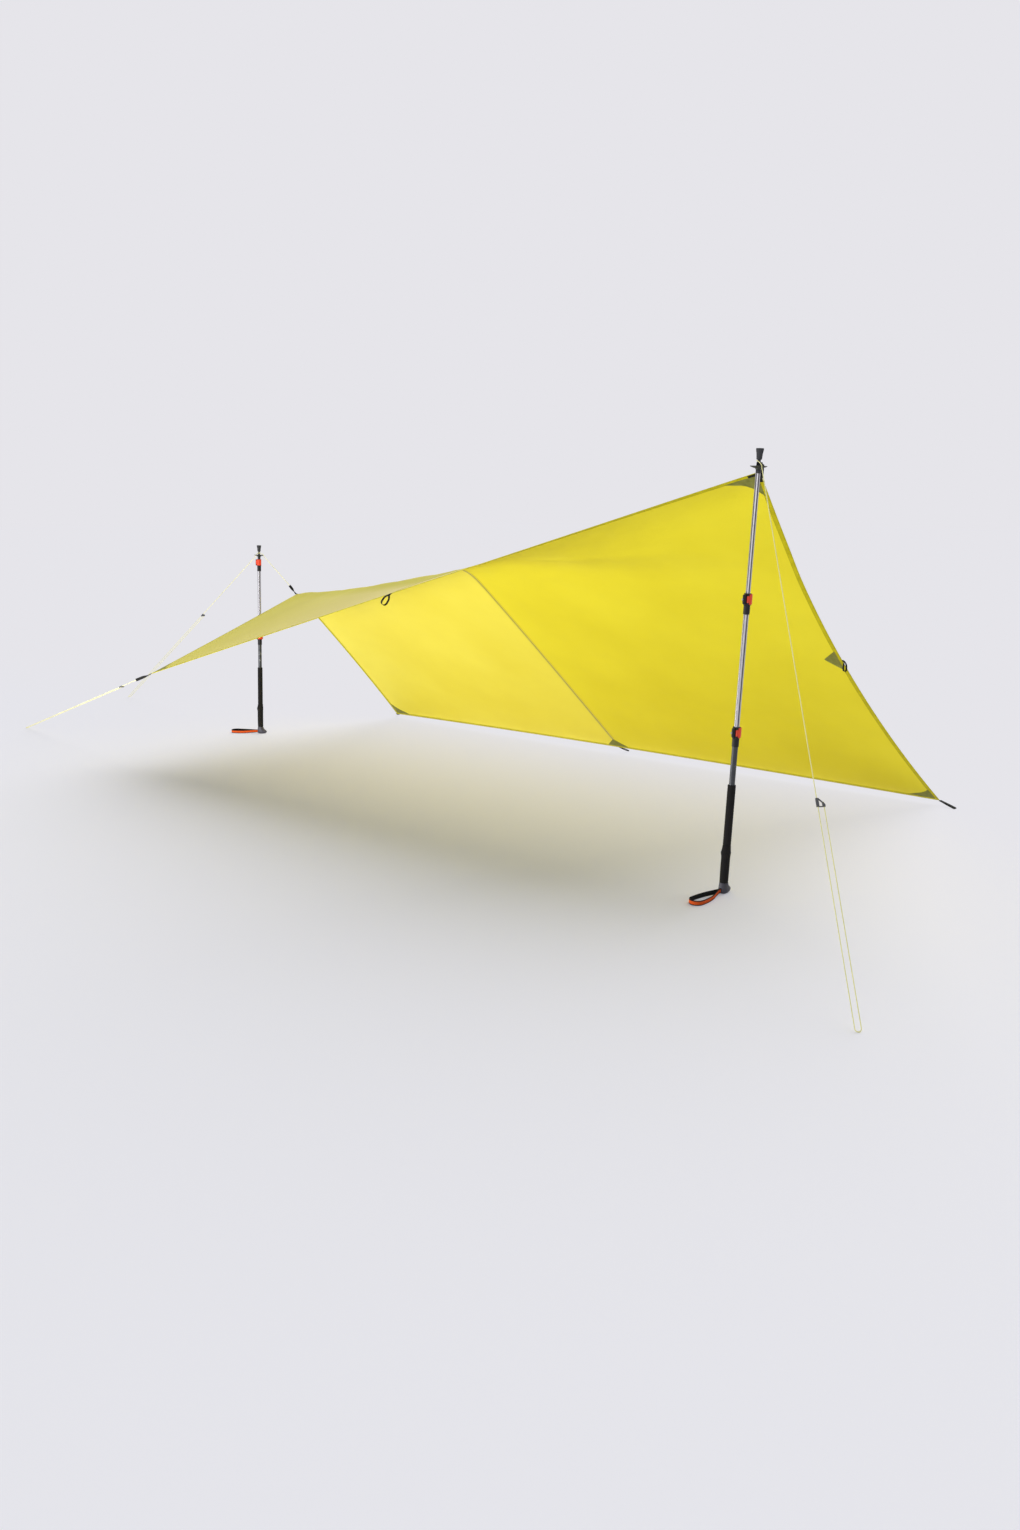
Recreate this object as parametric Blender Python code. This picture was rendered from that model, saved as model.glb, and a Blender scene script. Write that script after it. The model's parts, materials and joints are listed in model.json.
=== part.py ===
"""A rectangular camping tarp pitched as a lean-to on two upside-down trekking poles.

Metres, +Z up. X runs along the back edge, which lies on the floor, and Y points away from the open
front. The origin is on the floor under the middle of the pitched tarp.

Each pole stands on its handle, with the tip up. It has three shafts that telescope, held by two lever
clamps. Its own frame has Z along the axis from the handle to the tip, and X towards the lever side.
"""

import math

import bmesh
import bpy
import numpy as np
from mathutils import Matrix, Vector

MM = 0.001
GAP = 0.3 * MM  # between pieces that touch
SLIDE_GAP = 0.2 * MM  # between a shaft and the shaft it slides in
CUT_PAST = 2 * MM  # how far a cutter runs past the face it opens

# Cloth, and where the pitch holds it
CLOTH_LENGTH = 3.12
CLOTH_WIDTH = 2.00
CLOTH_THICK = 0.6 * MM
HEM_WIDTH = 12 * MM
HEM_THICK = 2.0 * MM
BACK_EDGE_Y = 0.805
BACK_CORNER_X = -1.4225
PEAK_BEHIND_POLE = 28 * MM
PEAK_BELOW_HUB = 4 * MM
PEAK_SIDE = (-0.30, 0.95, 0)  # from the near pole to the peak
FRONT_SLOPE = (-0.9602, -0.0492, -0.2751)  # from the near peak to the free corner
FRONT_REACH = 0.987  # pitched length of the front edge, as a share of the cloth
WIDTH_REACH = 0.979  # pitched length of the right edge, as a share of the cloth
LINK_REACH = (0.227, 0.053, -0.196)  # from the far pole's neck to the lifted edge
BACK_REST = 20 * MM

# Pull in each hemmed edge, against the pull in one thread line of the cloth
FRONT_PULL = 950
RIGHT_PULL = 130
BACK_PULL = 900
LEFT_PULL = 150
RIDGE_PULL = 230  # along the line from the lifted edge to the near peak
RIDGE_STRANDS = ((-1.5, 0.2), (-0.5, 0.3), (0.5, 0.3), (1.5, 0.2))  # lattice cells aside, share of the pull
LENGTH_PULL = 3  # in a thread line along the cloth, against one across it
LENGTH_CELLS = 40
WIDTH_CELLS = 20
PANEL_COLUMNS = 32
PANEL_ROWS = 16
HEM_EDGE = 1.0 * MM  # over which the hem thins to the cloth
EDGE_STEP = 20 * MM  # over which an edge's direction is taken

# Patches, seam tape and webbing
PATCH_INSET = 0.6 * MM  # patch and tape from the hem
PATCH_THICK = 0.5 * MM
CORNER_PATCH_LEG = 100 * MM
CORNER_PATCH_SCOOP = 1.5  # centre of the scooped edge, as a share of the leg
EDGE_PATCH_HALF = 60 * MM
EDGE_PATCH_DEPTH = 62 * MM
EDGE_PATCH_TIP = 0.06  # width left at its point, as a share
PATCH_START = 0.08  # first arc of a corner patch, as a share of its reach
TAPE_START = 1 * MM  # tape from the back edge's patch
TAPE_WIDTH = 20 * MM
WEBBING_WIDTH = 13 * MM
WEBBING_THICK = 1.4 * MM
NECK_BAND_WIDTH = 9 * MM
PEAK_LEG = 42 * MM
PEAK_LEG_TURN = 28 * MM  # where a leg leaves its hem
PEAK_LEG_SLACK = 0.3 * MM  # for the twist of the hem that a leg lies under
PEAK_BAND_ASIDE = 6.6 * MM
PEAK_BAND_CLEAR = 1.8 * MM  # band's middle from the basket's rim
PEAK_BAND_LOW, PEAK_BAND_HIGH = -5 * MM, 8 * MM  # where it runs straight up past the basket's rim
PEAK_BAND_RIGHT_LOW = -7 * MM
PEAK_BAND_INWARD = 16 * MM  # where the two sides close in on the neck
PEAK_BAND_OPENING = 0.75  # half angle left open round the neck
PEAK_FRONT_TURN = (4.5 * MM, 4 * MM, -13 * MM)  # further out, further aside and up, where the front leg turns
PEAK_RIGHT_TURN = (10 * MM, -1.6 * MM, -18.5 * MM)
TAIL_STRAIGHT = 5 * MM
LOOP_LENGTH = 42 * MM
LOOP_OPENING = 9 * MM
LOOP_STRAIGHT = 2 * MM  # before a loop starts to bend
LOOP_BEND = 10 * MM
PEG_LOOP_LENGTH = 78 * MM
PEG_LOOP_OPENING = 6 * MM
PEG_LOOP_GAP = 1.0 * MM
PEG_LOOP_REST = 0.5 * MM  # above the floor

# Poles: where they stand, and how far each telescope is drawn out
NEAR_FOOT_INSET = 0.128  # near foot from the right corner, along the back edge
NEAR_LEAN = (0.0408, 0.0053)
FAR_FOOT = (-1.640, -0.002)
FAR_LEAN = (-0.0067, 0.0529)
NEAR_MIDDLE_OUT = 340 * MM
NEAR_LOWER_OUT = 343 * MM
FAR_MIDDLE_OUT = 321 * MM
FAR_LOWER_OUT = 1.0 * MM
LEVER_HEADING = math.radians(39.87)
NEAR_CLAMP_TURNS = (0.0, 0.0)  # upper, lower
FAR_CLAMP_TURNS = (math.radians(-36), math.radians(-72))
NEAR_STRAP_TURN = math.radians(45)
FAR_STRAP_TURN = math.radians(-10)

# Pole shafts
UPPER_RADIUS = 9.0 * MM
SHAFT_WALL = 0.8 * MM
MIDDLE_RADIUS = UPPER_RADIUS - SHAFT_WALL - SLIDE_GAP
LOWER_RADIUS = MIDDLE_RADIUS - SHAFT_WALL - SLIDE_GAP
MIDDLE_LENGTH = 520 * MM
LOWER_LENGTH = 480 * MM
SHAFT_SIDES = 16

# Handle
HEAD_LENGTH = 36 * MM
HEAD_FLOOR = 4 * MM
HEAD_FOOT_CENTRE = 5 * MM
# Height, reach of the beak, reach on the strap's side, and half width of the head. The lowest ring is level.
HEAD_RINGS = (
    (0.0, 20 * MM, 9 * MM, 9 * MM),
    (1.8 * MM, 27 * MM, 13 * MM, 12 * MM),
    (6.5 * MM, 34 * MM, 16 * MM, 14.6 * MM),
    (12.5 * MM, 35 * MM, 16.8 * MM, 15.2 * MM),
    (18.5 * MM, 28 * MM, 16.4 * MM, 14.8 * MM),
    (26 * MM, 18.5 * MM, 15.2 * MM, 14.3 * MM),
)
GRIP_LENGTH = 122 * MM
SLEEVE_LENGTH = 194 * MM
UPPER_BARE = 120 * MM
GRIP_RADIUS = 14.0 * MM
SLEEVE_RADIUS = 12.6 * MM
GRIP_SIDES = 16
STRAP_WIDTH = 16 * MM
STRAP_THICK = 1.8 * MM
STRAP_LENGTH = 150 * MM
STRAP_LOOP_WIDTH = 46 * MM
STRAP_LIFT = 3 * MM
STRAP_REST = 0.5 * MM  # lower edge above the floor
STRAP_LEAD = 12 * MM  # straight way out of the slot
STRAP_SINK = 60 * MM  # way from there to where the strap lies on the floor
# Way from the slot and share of the loop's width, for three places where the strap opens out.
STRAP_OPENING = ((34 * MM, 0.3), (62 * MM, 0.72), (92 * MM, 0.96))
SLOT_WALL = 2 * MM  # head left between the strap's slot and the shaft

# Lever clamps
CLAMP_SLEEVE = 28 * MM
CLAMP_JAW = 34 * MM
CLAMP_SLEEVE_WALL = 1.8 * MM
CLAMP_JAW_WALL = 3.0 * MM
PIN_RADIUS = 1.2 * MM
PIN_STANDOFF = 2.6 * MM  # pin centre from the jaw's outside
PIN_ANGLE = math.radians(-96)
EAR_RADIUS = 3.2 * MM
EAR_SIDES = 12
PIN_SIDES = 10
EAR_HEIGHT = 6 * MM
LEVER_THICK = 2.4 * MM
LEVER_HEIGHT = 30 * MM
LEVER_START = math.radians(-76)
LEVER_END = math.radians(36)
LEVER_LIP = 1.6 * MM
LEVER_STEPS = 10
SCREW_RADIUS = 1.6 * MM
SCREW_HEAD_RADIUS = 3.2 * MM
SCREW_HEAD_LENGTH = 4 * MM
BLOCK_LENGTH = 10 * MM
SLIT = 1.5 * MM
CLAMP_BEVEL = 0.8 * MM
CLAMP_SLOPE = 2 * MM  # where the sleeve widens to the jaw
CLAMP_SEAT = 1.5 * MM  # end of the outer tube's seat above the sleeve
CLAMP_JAW_PLAY = 0.1 * MM
CLAMP_INSET = 1 * MM  # ears from the jaw's ends
EAR_SINK = 1 * MM  # ears into the jaw's wall
PIN_INSET = 0.5 * MM
BLOCK_INSET = 2 * MM  # screw block from the ears' ends
BLOCK_BEVEL = 1.6 * MM
LEVER_PLAY = 0.5 * MM  # lever from the jaw
LEVER_WEB_SINK = 0.25 * MM
LEVER_WEB_REACH = 0.12  # angle of the lever's web into its plate

# Tip
COLLAR_LENGTH = 10 * MM
COLLAR_RADIUS = 7.4 * MM
HUB_LENGTH = 12 * MM
HUB_RADIUS = 8.6 * MM
NECK_LENGTH = 16 * MM
NECK_RADIUS = 5.0 * MM
CAP_LENGTH = 32 * MM
CAP_RADIUS = 11.5 * MM
CAP_LOW_RADIUS = 8.0 * MM
SPIGOT_LENGTH = 18 * MM
POINT_LENGTH = 6 * MM
PLUG_LENGTH = 22 * MM
BASKET_RADIUS = 25 * MM
BASKET_THICK = 1.8 * MM
BASKET_RISE = 5.0 * MM
BASKET_LOBES = 6

# Lines
CORD_RADIUS = 1.25 * MM
STRAND_SPACING = 16 * MM
TENSIONER_LENGTH = 24 * MM
TENSIONER_THICK = 5.6 * MM
TENSIONER_BORE = 1.8 * MM
TENSIONER_RIM = 3.4 * MM
TENSIONER_SHOULDER = 7.2 * MM
TENSIONER_WEB = 1.6 * MM
TENSIONER_SHORT_BORE = 10.8 * MM
TENSIONER_BEVEL = 0.7 * MM
CORD_END = 3 * MM
TAUT_SPAN = 60 * MM  # a longer span of a route is a taut straight stretch


def clear_scene():
    for obj in list(bpy.data.objects):
        bpy.data.objects.remove(obj, do_unlink=True)


def make_material(name, colour, roughness, metallic=0.0):
    material = bpy.data.materials.new(name)
    material.use_nodes = True
    shader = material.node_tree.nodes["Principled BSDF"]
    shader.inputs["Base Color"].default_value = (*colour, 1)
    shader.inputs["Roughness"].default_value = roughness
    shader.inputs["Metallic"].default_value = metallic
    return material


def add_piece(name, mesh, material, parent=None, place=None, smooth=True):
    """Links a mesh as a named piece, under its parent at its own place."""
    obj = bpy.data.objects.new(name, mesh)
    bpy.context.scene.collection.objects.link(obj)
    mesh.materials.append(material)
    if smooth:
        mesh.shade_smooth()
        mesh.set_sharp_from_angle(angle=math.radians(35))
    obj.parent = parent
    obj.matrix_local = place if place is not None else Matrix.Identity(4)
    return obj


def finish_mesh(name, bm):
    bmesh.ops.recalc_face_normals(bm, faces=bm.faces)
    mesh = bpy.data.meshes.new(name)
    bm.to_mesh(mesh)
    bm.free()
    return mesh


def join_rings(bm, rings, closed=False):
    """Skins rings of equal count; a single vertex stands for a ring that has shrunk to the axis."""
    pairs = list(zip(rings, rings[1:]))
    if closed:
        pairs.append((rings[-1], rings[0]))
    for low, high in pairs:
        count = max(len(low), len(high))
        for k in range(count):
            a = low[k % len(low)]
            b = low[(k + 1) % len(low)]
            c = high[(k + 1) % len(high)]
            d = high[k % len(high)]
            corners = [a] + [v for v in (b, c, d) if v is not a]
            unique = list(dict.fromkeys(corners))
            if len(unique) > 2:
                bm.faces.new(unique)


def ring_of(bm, radius, z, sides, centre=(0, 0), oval=1.0):
    if radius == 0:
        return [bm.verts.new((centre[0], centre[1], z))]
    ring = []
    for k in range(sides):
        angle = 2 * math.pi * k / sides
        ring.append(bm.verts.new((
            centre[0] + radius * math.cos(angle),
            centre[1] + radius * oval * math.sin(angle),
            z,
        )))
    return ring


def turned_mesh(name, profile, sides, hollow=False):
    """Turns a profile of (radius, height) about Z. A hollow profile is a closed loop round the wall."""
    bm = bmesh.new()
    rings = [ring_of(bm, radius, z, sides) for radius, z in profile]
    join_rings(bm, rings, closed=hollow)
    return finish_mesh(name, bm)


def box_mesh(name, low, high):
    bm = bmesh.new()
    bmesh.ops.create_cube(bm, size=1)
    for v in bm.verts:
        for axis in range(3):
            v.co[axis] = high[axis] if v.co[axis] > 0 else low[axis]
    return finish_mesh(name, bm)


def arc_wall_mesh(name, inner, outer, start, end, low, high, steps, lip=0.0):
    """A wall that follows an arc about Z, with an optional lip that flares out at its end."""
    bm = bmesh.new()
    rings = []
    for k in range(steps + 1):
        share = k / steps
        angle = start + (end - start) * share
        flare = lip * max(0.0, (share - 0.8) / 0.2) ** 2
        ring = []
        for radius, z in ((inner, low), (outer, low), (outer, high), (inner, high)):
            r = radius + flare
            ring.append(bm.verts.new((r * math.cos(angle), r * math.sin(angle), z)))
        rings.append(ring)
    join_rings(bm, rings)
    bm.faces.new(rings[0])
    bm.faces.new(rings[-1])
    return finish_mesh(name, bm)


def add_tool(name, mesh, parent, place=None):
    """A hidden solid for a Boolean, which is not a piece itself."""
    tool = bpy.data.objects.new(name, mesh)
    bpy.context.scene.collection.objects.link(tool)
    tool.parent = parent
    tool.matrix_local = place if place is not None else Matrix.Identity(4)
    tool.hide_render = True
    tool.display_type = "WIRE"
    return tool


def combine(obj, tool, operation):
    modifier = obj.modifiers.new(tool.name, "BOOLEAN")
    modifier.operation = operation
    modifier.solver = "EXACT"
    modifier.object = tool


# Pole frames and stations


def pole_matrix(foot, lean, heading=LEVER_HEADING):
    axis = Vector((lean[0], lean[1], 1)).normalized()
    side = Vector((math.cos(heading), math.sin(heading), 0))
    side = (side - side.dot(axis) * axis).normalized()
    across = axis.cross(side)
    matrix = Matrix((side, across, axis)).transposed().to_4x4()
    matrix.translation = Vector((foot[0], foot[1], 0))
    return matrix


def pole_stations(middle_out, lower_out):
    """Heights of each part along a pole, from the floor."""
    station = {"grip": HEAD_LENGTH}
    station["sleeve"] = station["grip"] + GRIP_LENGTH
    station["bare"] = station["sleeve"] + SLEEVE_LENGTH
    station["upper_clamp"] = station["bare"] + UPPER_BARE
    station["middle_bare"] = station["upper_clamp"] + CLAMP_SLEEVE + CLAMP_JAW
    station["lower_clamp"] = station["middle_bare"] + middle_out
    station["lower_bare"] = station["lower_clamp"] + CLAMP_SLEEVE + CLAMP_JAW
    station["collar"] = station["lower_bare"] + lower_out
    station["hub"] = station["collar"] + COLLAR_LENGTH
    station["neck"] = station["hub"] + HUB_LENGTH
    station["cap"] = station["neck"] + NECK_LENGTH
    station["top"] = station["cap"] + CAP_LENGTH
    return station


NEAR = pole_stations(NEAR_MIDDLE_OUT, NEAR_LOWER_OUT)
FAR = pole_stations(FAR_MIDDLE_OUT, FAR_LOWER_OUT)


def near_foot():
    """The near pole stands so that the right edge keeps its width between floor and peak."""
    level = NEAR["hub"] - PEAK_BELOW_HUB
    side = Vector(PEAK_SIDE).normalized() * PEAK_BEHIND_POLE
    inset = NEAR_FOOT_INSET - NEAR_LEAN[0] * level - side.x
    reach = math.sqrt((CLOTH_WIDTH * WIDTH_REACH) ** 2 - (level - BACK_REST) ** 2 - inset**2)
    return (
        BACK_CORNER_X + CLOTH_LENGTH - NEAR_FOOT_INSET,
        BACK_EDGE_Y - reach - NEAR_LEAN[1] * level - side.y,
    )


NEAR_POLE = pole_matrix(near_foot(), NEAR_LEAN)
FAR_POLE = pole_matrix(FAR_FOOT, FAR_LEAN)


# The pitched cloth. Its lattice runs from the back corner, first index along the length, second across.


def anchor_points():
    """Where the pitch holds the cloth: four corners and the lifted left edge."""
    back = Vector((BACK_CORNER_X, BACK_EDGE_Y, BACK_REST))
    right = back + Vector((CLOTH_LENGTH, 0, 0))
    peak = NEAR_POLE @ Vector((0, 0, NEAR["hub"] - PEAK_BELOW_HUB))
    peak = peak + Vector(PEAK_SIDE).normalized() * PEAK_BEHIND_POLE
    front = Vector(FRONT_SLOPE).normalized() * CLOTH_LENGTH * FRONT_REACH
    free = peak + front
    lift = FAR_POLE @ Vector((0, 0, FAR["neck"])) + Vector(LINK_REACH)
    return {"back": back, "right": right, "peak": peak, "free": free, "lift": lift}


def ridge_weights(index, aside):
    """Weights of the net's points at each step of a ridge strand, which crosses the lattice aslant."""
    rows, columns = index.shape
    ridge = []
    for i in range(rows):
        share = i / (rows - 1)
        across = (columns - 1) / 2 * (1 + share) + aside * math.sin(math.pi * share)
        j = min(int(across), columns - 2)
        weights = np.zeros(index.size)
        weights[index[i, j]] = 1 - (across - j)
        weights[index[i, j + 1]] = across - j
        ridge.append(weights)
    return ridge


def tension_net():
    """Still shape of the stretched cloth, where the pulls of its thread lines and hems balance."""
    anchors = anchor_points()
    rows, columns = LENGTH_CELLS + 1, WIDTH_CELLS + 1
    index = np.arange(rows * columns).reshape(rows, columns)
    pull_along = np.full((rows - 1, columns), float(LENGTH_PULL))
    pull_along[:, 0] = BACK_PULL
    pull_along[:, -1] = FRONT_PULL
    pull_across = np.ones((rows, columns - 1))
    pull_across[0, :] = LEFT_PULL
    pull_across[-1, :] = RIGHT_PULL
    first = np.concatenate([index[:-1, :].ravel(), index[:, :-1].ravel()])
    second = np.concatenate([index[1:, :].ravel(), index[:, 1:].ravel()])
    pull = np.concatenate([pull_along.ravel(), pull_across.ravel()])
    matrix = np.zeros((rows * columns, rows * columns))
    np.add.at(matrix, (first, first), pull)
    np.add.at(matrix, (second, second), pull)
    np.add.at(matrix, (first, second), -pull)
    np.add.at(matrix, (second, first), -pull)
    for aside, share in RIDGE_STRANDS:
        strand = ridge_weights(index, aside)
        for low, high in zip(strand, strand[1:]):
            matrix += RIDGE_PULL * share * np.outer(high - low, high - low)
    held = {
        index[0, 0]: anchors["back"],
        index[-1, 0]: anchors["right"],
        index[-1, -1]: anchors["peak"],
        index[0, -1]: anchors["free"],
        index[0, WIDTH_CELLS // 2]: anchors["lift"],
    }
    fixed = np.array(list(held))
    places = np.array([tuple(p) for p in held.values()])
    free = np.setdiff1d(np.arange(rows * columns), fixed)
    net = np.zeros((rows * columns, 3))
    net[fixed] = places
    net[free] = np.linalg.solve(matrix[np.ix_(free, free)], -matrix[np.ix_(free, fixed)] @ places)
    return net.reshape(rows, columns, 3)


def net_point(net, u, v):
    """Bilinear point of the solved net at shares u along the length and v across the width."""
    x = min(max(u, 0.0), 1.0) * LENGTH_CELLS
    y = min(max(v, 0.0), 1.0) * WIDTH_CELLS
    i = min(int(x), LENGTH_CELLS - 1)
    j = min(int(y), WIDTH_CELLS - 1)
    a, b = x - i, y - j
    return (
        net[i, j] * (1 - a) * (1 - b)
        + net[i + 1, j] * a * (1 - b)
        + net[i, j + 1] * (1 - a) * b
        + net[i + 1, j + 1] * a * b
    )


def line_shares(cells, length, seam=False):
    """Shares of the mesh lines, with a close pair at each hem and at the seam."""
    hem = HEM_WIDTH / length
    step = HEM_EDGE / length
    inner = [k / cells for k in range(1, cells)]
    if seam:
        inner.remove(0.5)
        gap = GAP / 2 / length
        inner += [0.5 - gap, 0.5 + gap]
    inner = [s for s in inner if hem * 1.5 < s < 1 - hem * 1.5]
    return np.array(sorted([0.0, hem - step, hem, *inner, 1 - hem, 1 - hem + step, 1.0]))


class Cloth:
    """The pitched cloth as a faceted surface, with a point and an outward normal at any share."""

    def __init__(self):
        self.u = line_shares(PANEL_COLUMNS, CLOTH_LENGTH, seam=True)
        self.v = line_shares(PANEL_ROWS, CLOTH_WIDTH)
        net = tension_net()
        normals = np.cross(np.gradient(net, axis=1), np.gradient(net, axis=0))
        normals /= np.linalg.norm(normals, axis=2, keepdims=True)
        self.points = np.array([[net_point(net, u, v) for v in self.v] for u in self.u])
        self.normals = np.array([[net_point(normals, u, v) for v in self.v] for u in self.u])
        self.normals /= np.linalg.norm(self.normals, axis=2, keepdims=True)
        along = np.minimum(self.u, 1 - self.u) * CLOTH_LENGTH
        across = np.minimum(self.v, 1 - self.v) * CLOTH_WIDTH
        inset = np.minimum(along[:, None], across[None, :])
        self.thick = np.where(inset < HEM_WIDTH - HEM_EDGE / 2, HEM_THICK, CLOTH_THICK)

    def at(self, u, v):
        """(point, normal) on the facet that holds the shares, split as the panels are split."""
        i = int(np.clip(np.searchsorted(self.u, u, side="right") - 1, 0, len(self.u) - 2))
        j = int(np.clip(np.searchsorted(self.v, v, side="right") - 1, 0, len(self.v) - 2))
        a = (u - self.u[i]) / (self.u[i + 1] - self.u[i])
        b = (v - self.v[j]) / (self.v[j + 1] - self.v[j])
        found = []
        for grid in (self.points, self.normals):
            p00, p10, p11, p01 = grid[i, j], grid[i + 1, j], grid[i + 1, j + 1], grid[i, j + 1]
            if a >= b:
                found.append(p00 + (p10 - p00) * a + (p11 - p10) * b)
            else:
                found.append(p00 + (p01 - p00) * b + (p11 - p01) * a)
        return Vector(found[0]), Vector(found[1]).normalized()

    def place(self, x, y, lift):
        """A point x, y metres from the back corner in the flat cloth, lifted off its middle surface."""
        point, normal = self.at(x / CLOTH_LENGTH, y / CLOTH_WIDTH)
        return point + normal * lift


def sheet_mesh(name, top, bottom, flip=False):
    """A closed thin solid between two grids of points, split along the same diagonal."""
    rows, columns = len(top), len(top[0])
    bm = bmesh.new()
    upper = [[bm.verts.new(p) for p in row] for row in top]
    lower = [[bm.verts.new(p) for p in row] for row in bottom]
    for grid in (upper, lower):
        for i in range(rows - 1):
            for j in range(columns - 1):
                a, b, c, d = grid[i][j], grid[i + 1][j], grid[i + 1][j + 1], grid[i][j + 1]
                bm.faces.new((a, b, c))
                bm.faces.new((a, c, d))
    rim = [(i, 0) for i in range(rows)]
    rim += [(rows - 1, j) for j in range(1, columns)]
    rim += [(i, columns - 1) for i in range(rows - 2, -1, -1)]
    rim += [(0, j) for j in range(columns - 2, 0, -1)]
    for (i, j), (k, m) in zip(rim, rim[1:] + rim[:1]):
        bm.faces.new((upper[i][j], upper[k][m], lower[k][m], lower[i][j]))
    return finish_mesh(name, bm)


def add_panel(cloth, name, first, last, material):
    points = cloth.points[first:last]
    shift = cloth.normals[first:last] * cloth.thick[first:last, :, None] / 2
    mesh = sheet_mesh(name, (points + shift).tolist(), (points - shift).tolist())
    return add_piece(name, mesh, material)


def add_layer(cloth, name, shares, side, material, thick=PATCH_THICK):
    """A layer sewn flat on the cloth, from a grid of flat places. Side 1 is outside, -1 is under."""
    near = side * (CLOTH_THICK / 2 + GAP)
    far = side * (CLOTH_THICK / 2 + GAP + thick)
    top = [[cloth.place(x, y, far) for x, y in row] for row in shares]
    bottom = [[cloth.place(x, y, near) for x, y in row] for row in shares]
    return add_piece(name, sheet_mesh(name, top, bottom), material)


def corner_shares(x_corner, y_corner, steps=5):
    """Flat places of a corner patch: two straight legs inside the hems and one scooped edge."""
    x_sign = 1 if x_corner == 0 else -1
    y_sign = 1 if y_corner == 0 else -1
    inset = HEM_WIDTH + PATCH_INSET
    centre = CORNER_PATCH_SCOOP * CORNER_PATCH_LEG
    scoop = math.hypot(centre - CORNER_PATCH_LEG, centre)
    grid = []
    for k in range(steps + 1):
        angle = math.pi / 2 * k / steps
        c, s = math.cos(angle), math.sin(angle)
        reach = centre * (c + s) - math.sqrt(scoop**2 - (centre * (c - s)) ** 2)
        row = []
        for m in range(steps + 1):
            r = reach * (PATCH_START + (1 - PATCH_START) * m / steps)
            row.append((x_corner + x_sign * (inset + r * c), y_corner + y_sign * (inset + r * s)))
        grid.append(row)
    return grid


def edge_shares(along, edge, depth_sign, on_length, steps=6):
    """Flat places of a triangular patch whose long side lies along an edge."""
    inset = HEM_WIDTH + PATCH_INSET
    grid = []
    for k in range(steps + 1):
        depth = EDGE_PATCH_DEPTH * k / steps
        half = EDGE_PATCH_HALF * (1 - (1 - EDGE_PATCH_TIP) * k / steps)
        row = []
        for m in range(-steps // 2, steps // 2 + 1):
            a = along + half * m / (steps / 2)
            b = edge + depth_sign * (inset + depth)
            row.append((a, b) if on_length else (b, a))
        grid.append(row)
    return grid


def add_ribbon(name, path, sides, material, width, thick):
    """A flat strap swept along a path, its width laid along the given side directions."""
    path = [Vector(p) for p in path]
    bm = bmesh.new()
    rings = []
    for k, point in enumerate(path):
        tangent = (path[min(k + 1, len(path) - 1)] - path[max(k - 1, 0)]).normalized()
        side = Vector(sides[k])
        side = (side - side.dot(tangent) * tangent).normalized()
        face = tangent.cross(side)
        ring = []
        for a, b in ((-1, -1), (1, -1), (1, 1), (-1, 1)):
            ring.append(bm.verts.new(point + side * a * width / 2 + face * b * thick / 2))
        rings.append(ring)
    join_rings(bm, rings)
    bm.faces.new(rings[0])
    bm.faces.new(rings[-1])
    return add_piece(name, finish_mesh(name, bm), material)


def loop_outline(length, opening, steps=8):
    """(along, across) of a strap that leaves its seam, turns round and comes back, round an open teardrop."""
    half = opening / 2 + WEBBING_THICK / 2
    root = WEBBING_THICK / 2 + GAP / 2
    outline = [(0, root), (LOOP_STRAIGHT, root), (length * 0.15, root), (length * 0.45, half * 0.9)]
    for k in range(steps + 1):
        angle = math.pi * k / steps
        outline.append((length - half + half * math.sin(angle), half * math.cos(angle)))
    outline += [(length * 0.45, -half * 0.9), (length * 0.15, -root), (LOOP_STRAIGHT, -root), (0, -root)]
    return outline


def hanging_loop(root, out, edge, hang, length, opening):
    """Path and side directions of a loop that leaves an edge straight out and then hangs down."""
    turn = math.acos(max(-1.0, min(1.0, out.dot(hang))))
    down = (hang - hang.dot(out) * out).normalized()
    level = out.cross(hang).normalized()
    if level.dot(edge) < 0:
        level = -level
    radius = LOOP_BEND / turn
    path, sides = [], []
    for along, across in loop_outline(length, opening):
        bent = min(max(along - LOOP_STRAIGHT, 0.0), LOOP_BEND)
        angle = bent / radius
        tangent = out * math.cos(angle) + down * math.sin(angle)
        side = edge.lerp(level, bent / LOOP_BEND).normalized()
        centre = root + out * min(along, LOOP_STRAIGHT)
        centre += (out * math.sin(angle) + down * (1 - math.cos(angle))) * radius
        centre += tangent * max(0.0, along - LOOP_STRAIGHT - LOOP_BEND)
        path.append(centre + tangent.cross(side).normalized() * across)
        sides.append(side)
    return path, sides


def smooth_points(route, per_span=3):
    """Points of a smooth curve through the route, with knots spaced by the root of each span's length."""
    points = [Vector(p) for p in route]
    ends = [points[0] * 2 - points[1], *points, points[-1] * 2 - points[-2]]
    found = []
    for a, b, c, d in zip(ends, ends[1:], ends[2:], ends[3:]):
        before, span, after = [math.sqrt((q - p).length) for p, q in ((a, b), (b, c), (c, d))]
        start = (c - b) + span * ((b - a) / before - (c - a) / (before + span))
        end = (c - b) + span * ((d - c) / after - (d - b) / (span + after))
        count = 1 if (c - b).length > TAUT_SPAN else per_span
        for k in range(count):
            t = k / count
            found.append(
                b * (2 * t**3 - 3 * t**2 + 1) + c * (3 * t**2 - 2 * t**3)
                + start * (t**3 - 2 * t**2 + t) + end * (t**3 - t**2)
            )
    return [*found, points[-1]]


def add_cord(name, route, material):
    curve = bpy.data.curves.new(name, "CURVE")
    curve.dimensions = "3D"
    curve.bevel_depth = CORD_RADIUS
    curve.bevel_resolution = 2
    curve.use_fill_caps = True
    points = smooth_points(route)
    spline = curve.splines.new("POLY")
    spline.points.add(len(points) - 1)
    for target, point in zip(spline.points, points):
        target.co = (*point, 1)
    curve.materials.append(material)
    obj = bpy.data.objects.new(name, curve)
    bpy.context.scene.collection.objects.link(obj)
    return obj


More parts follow.
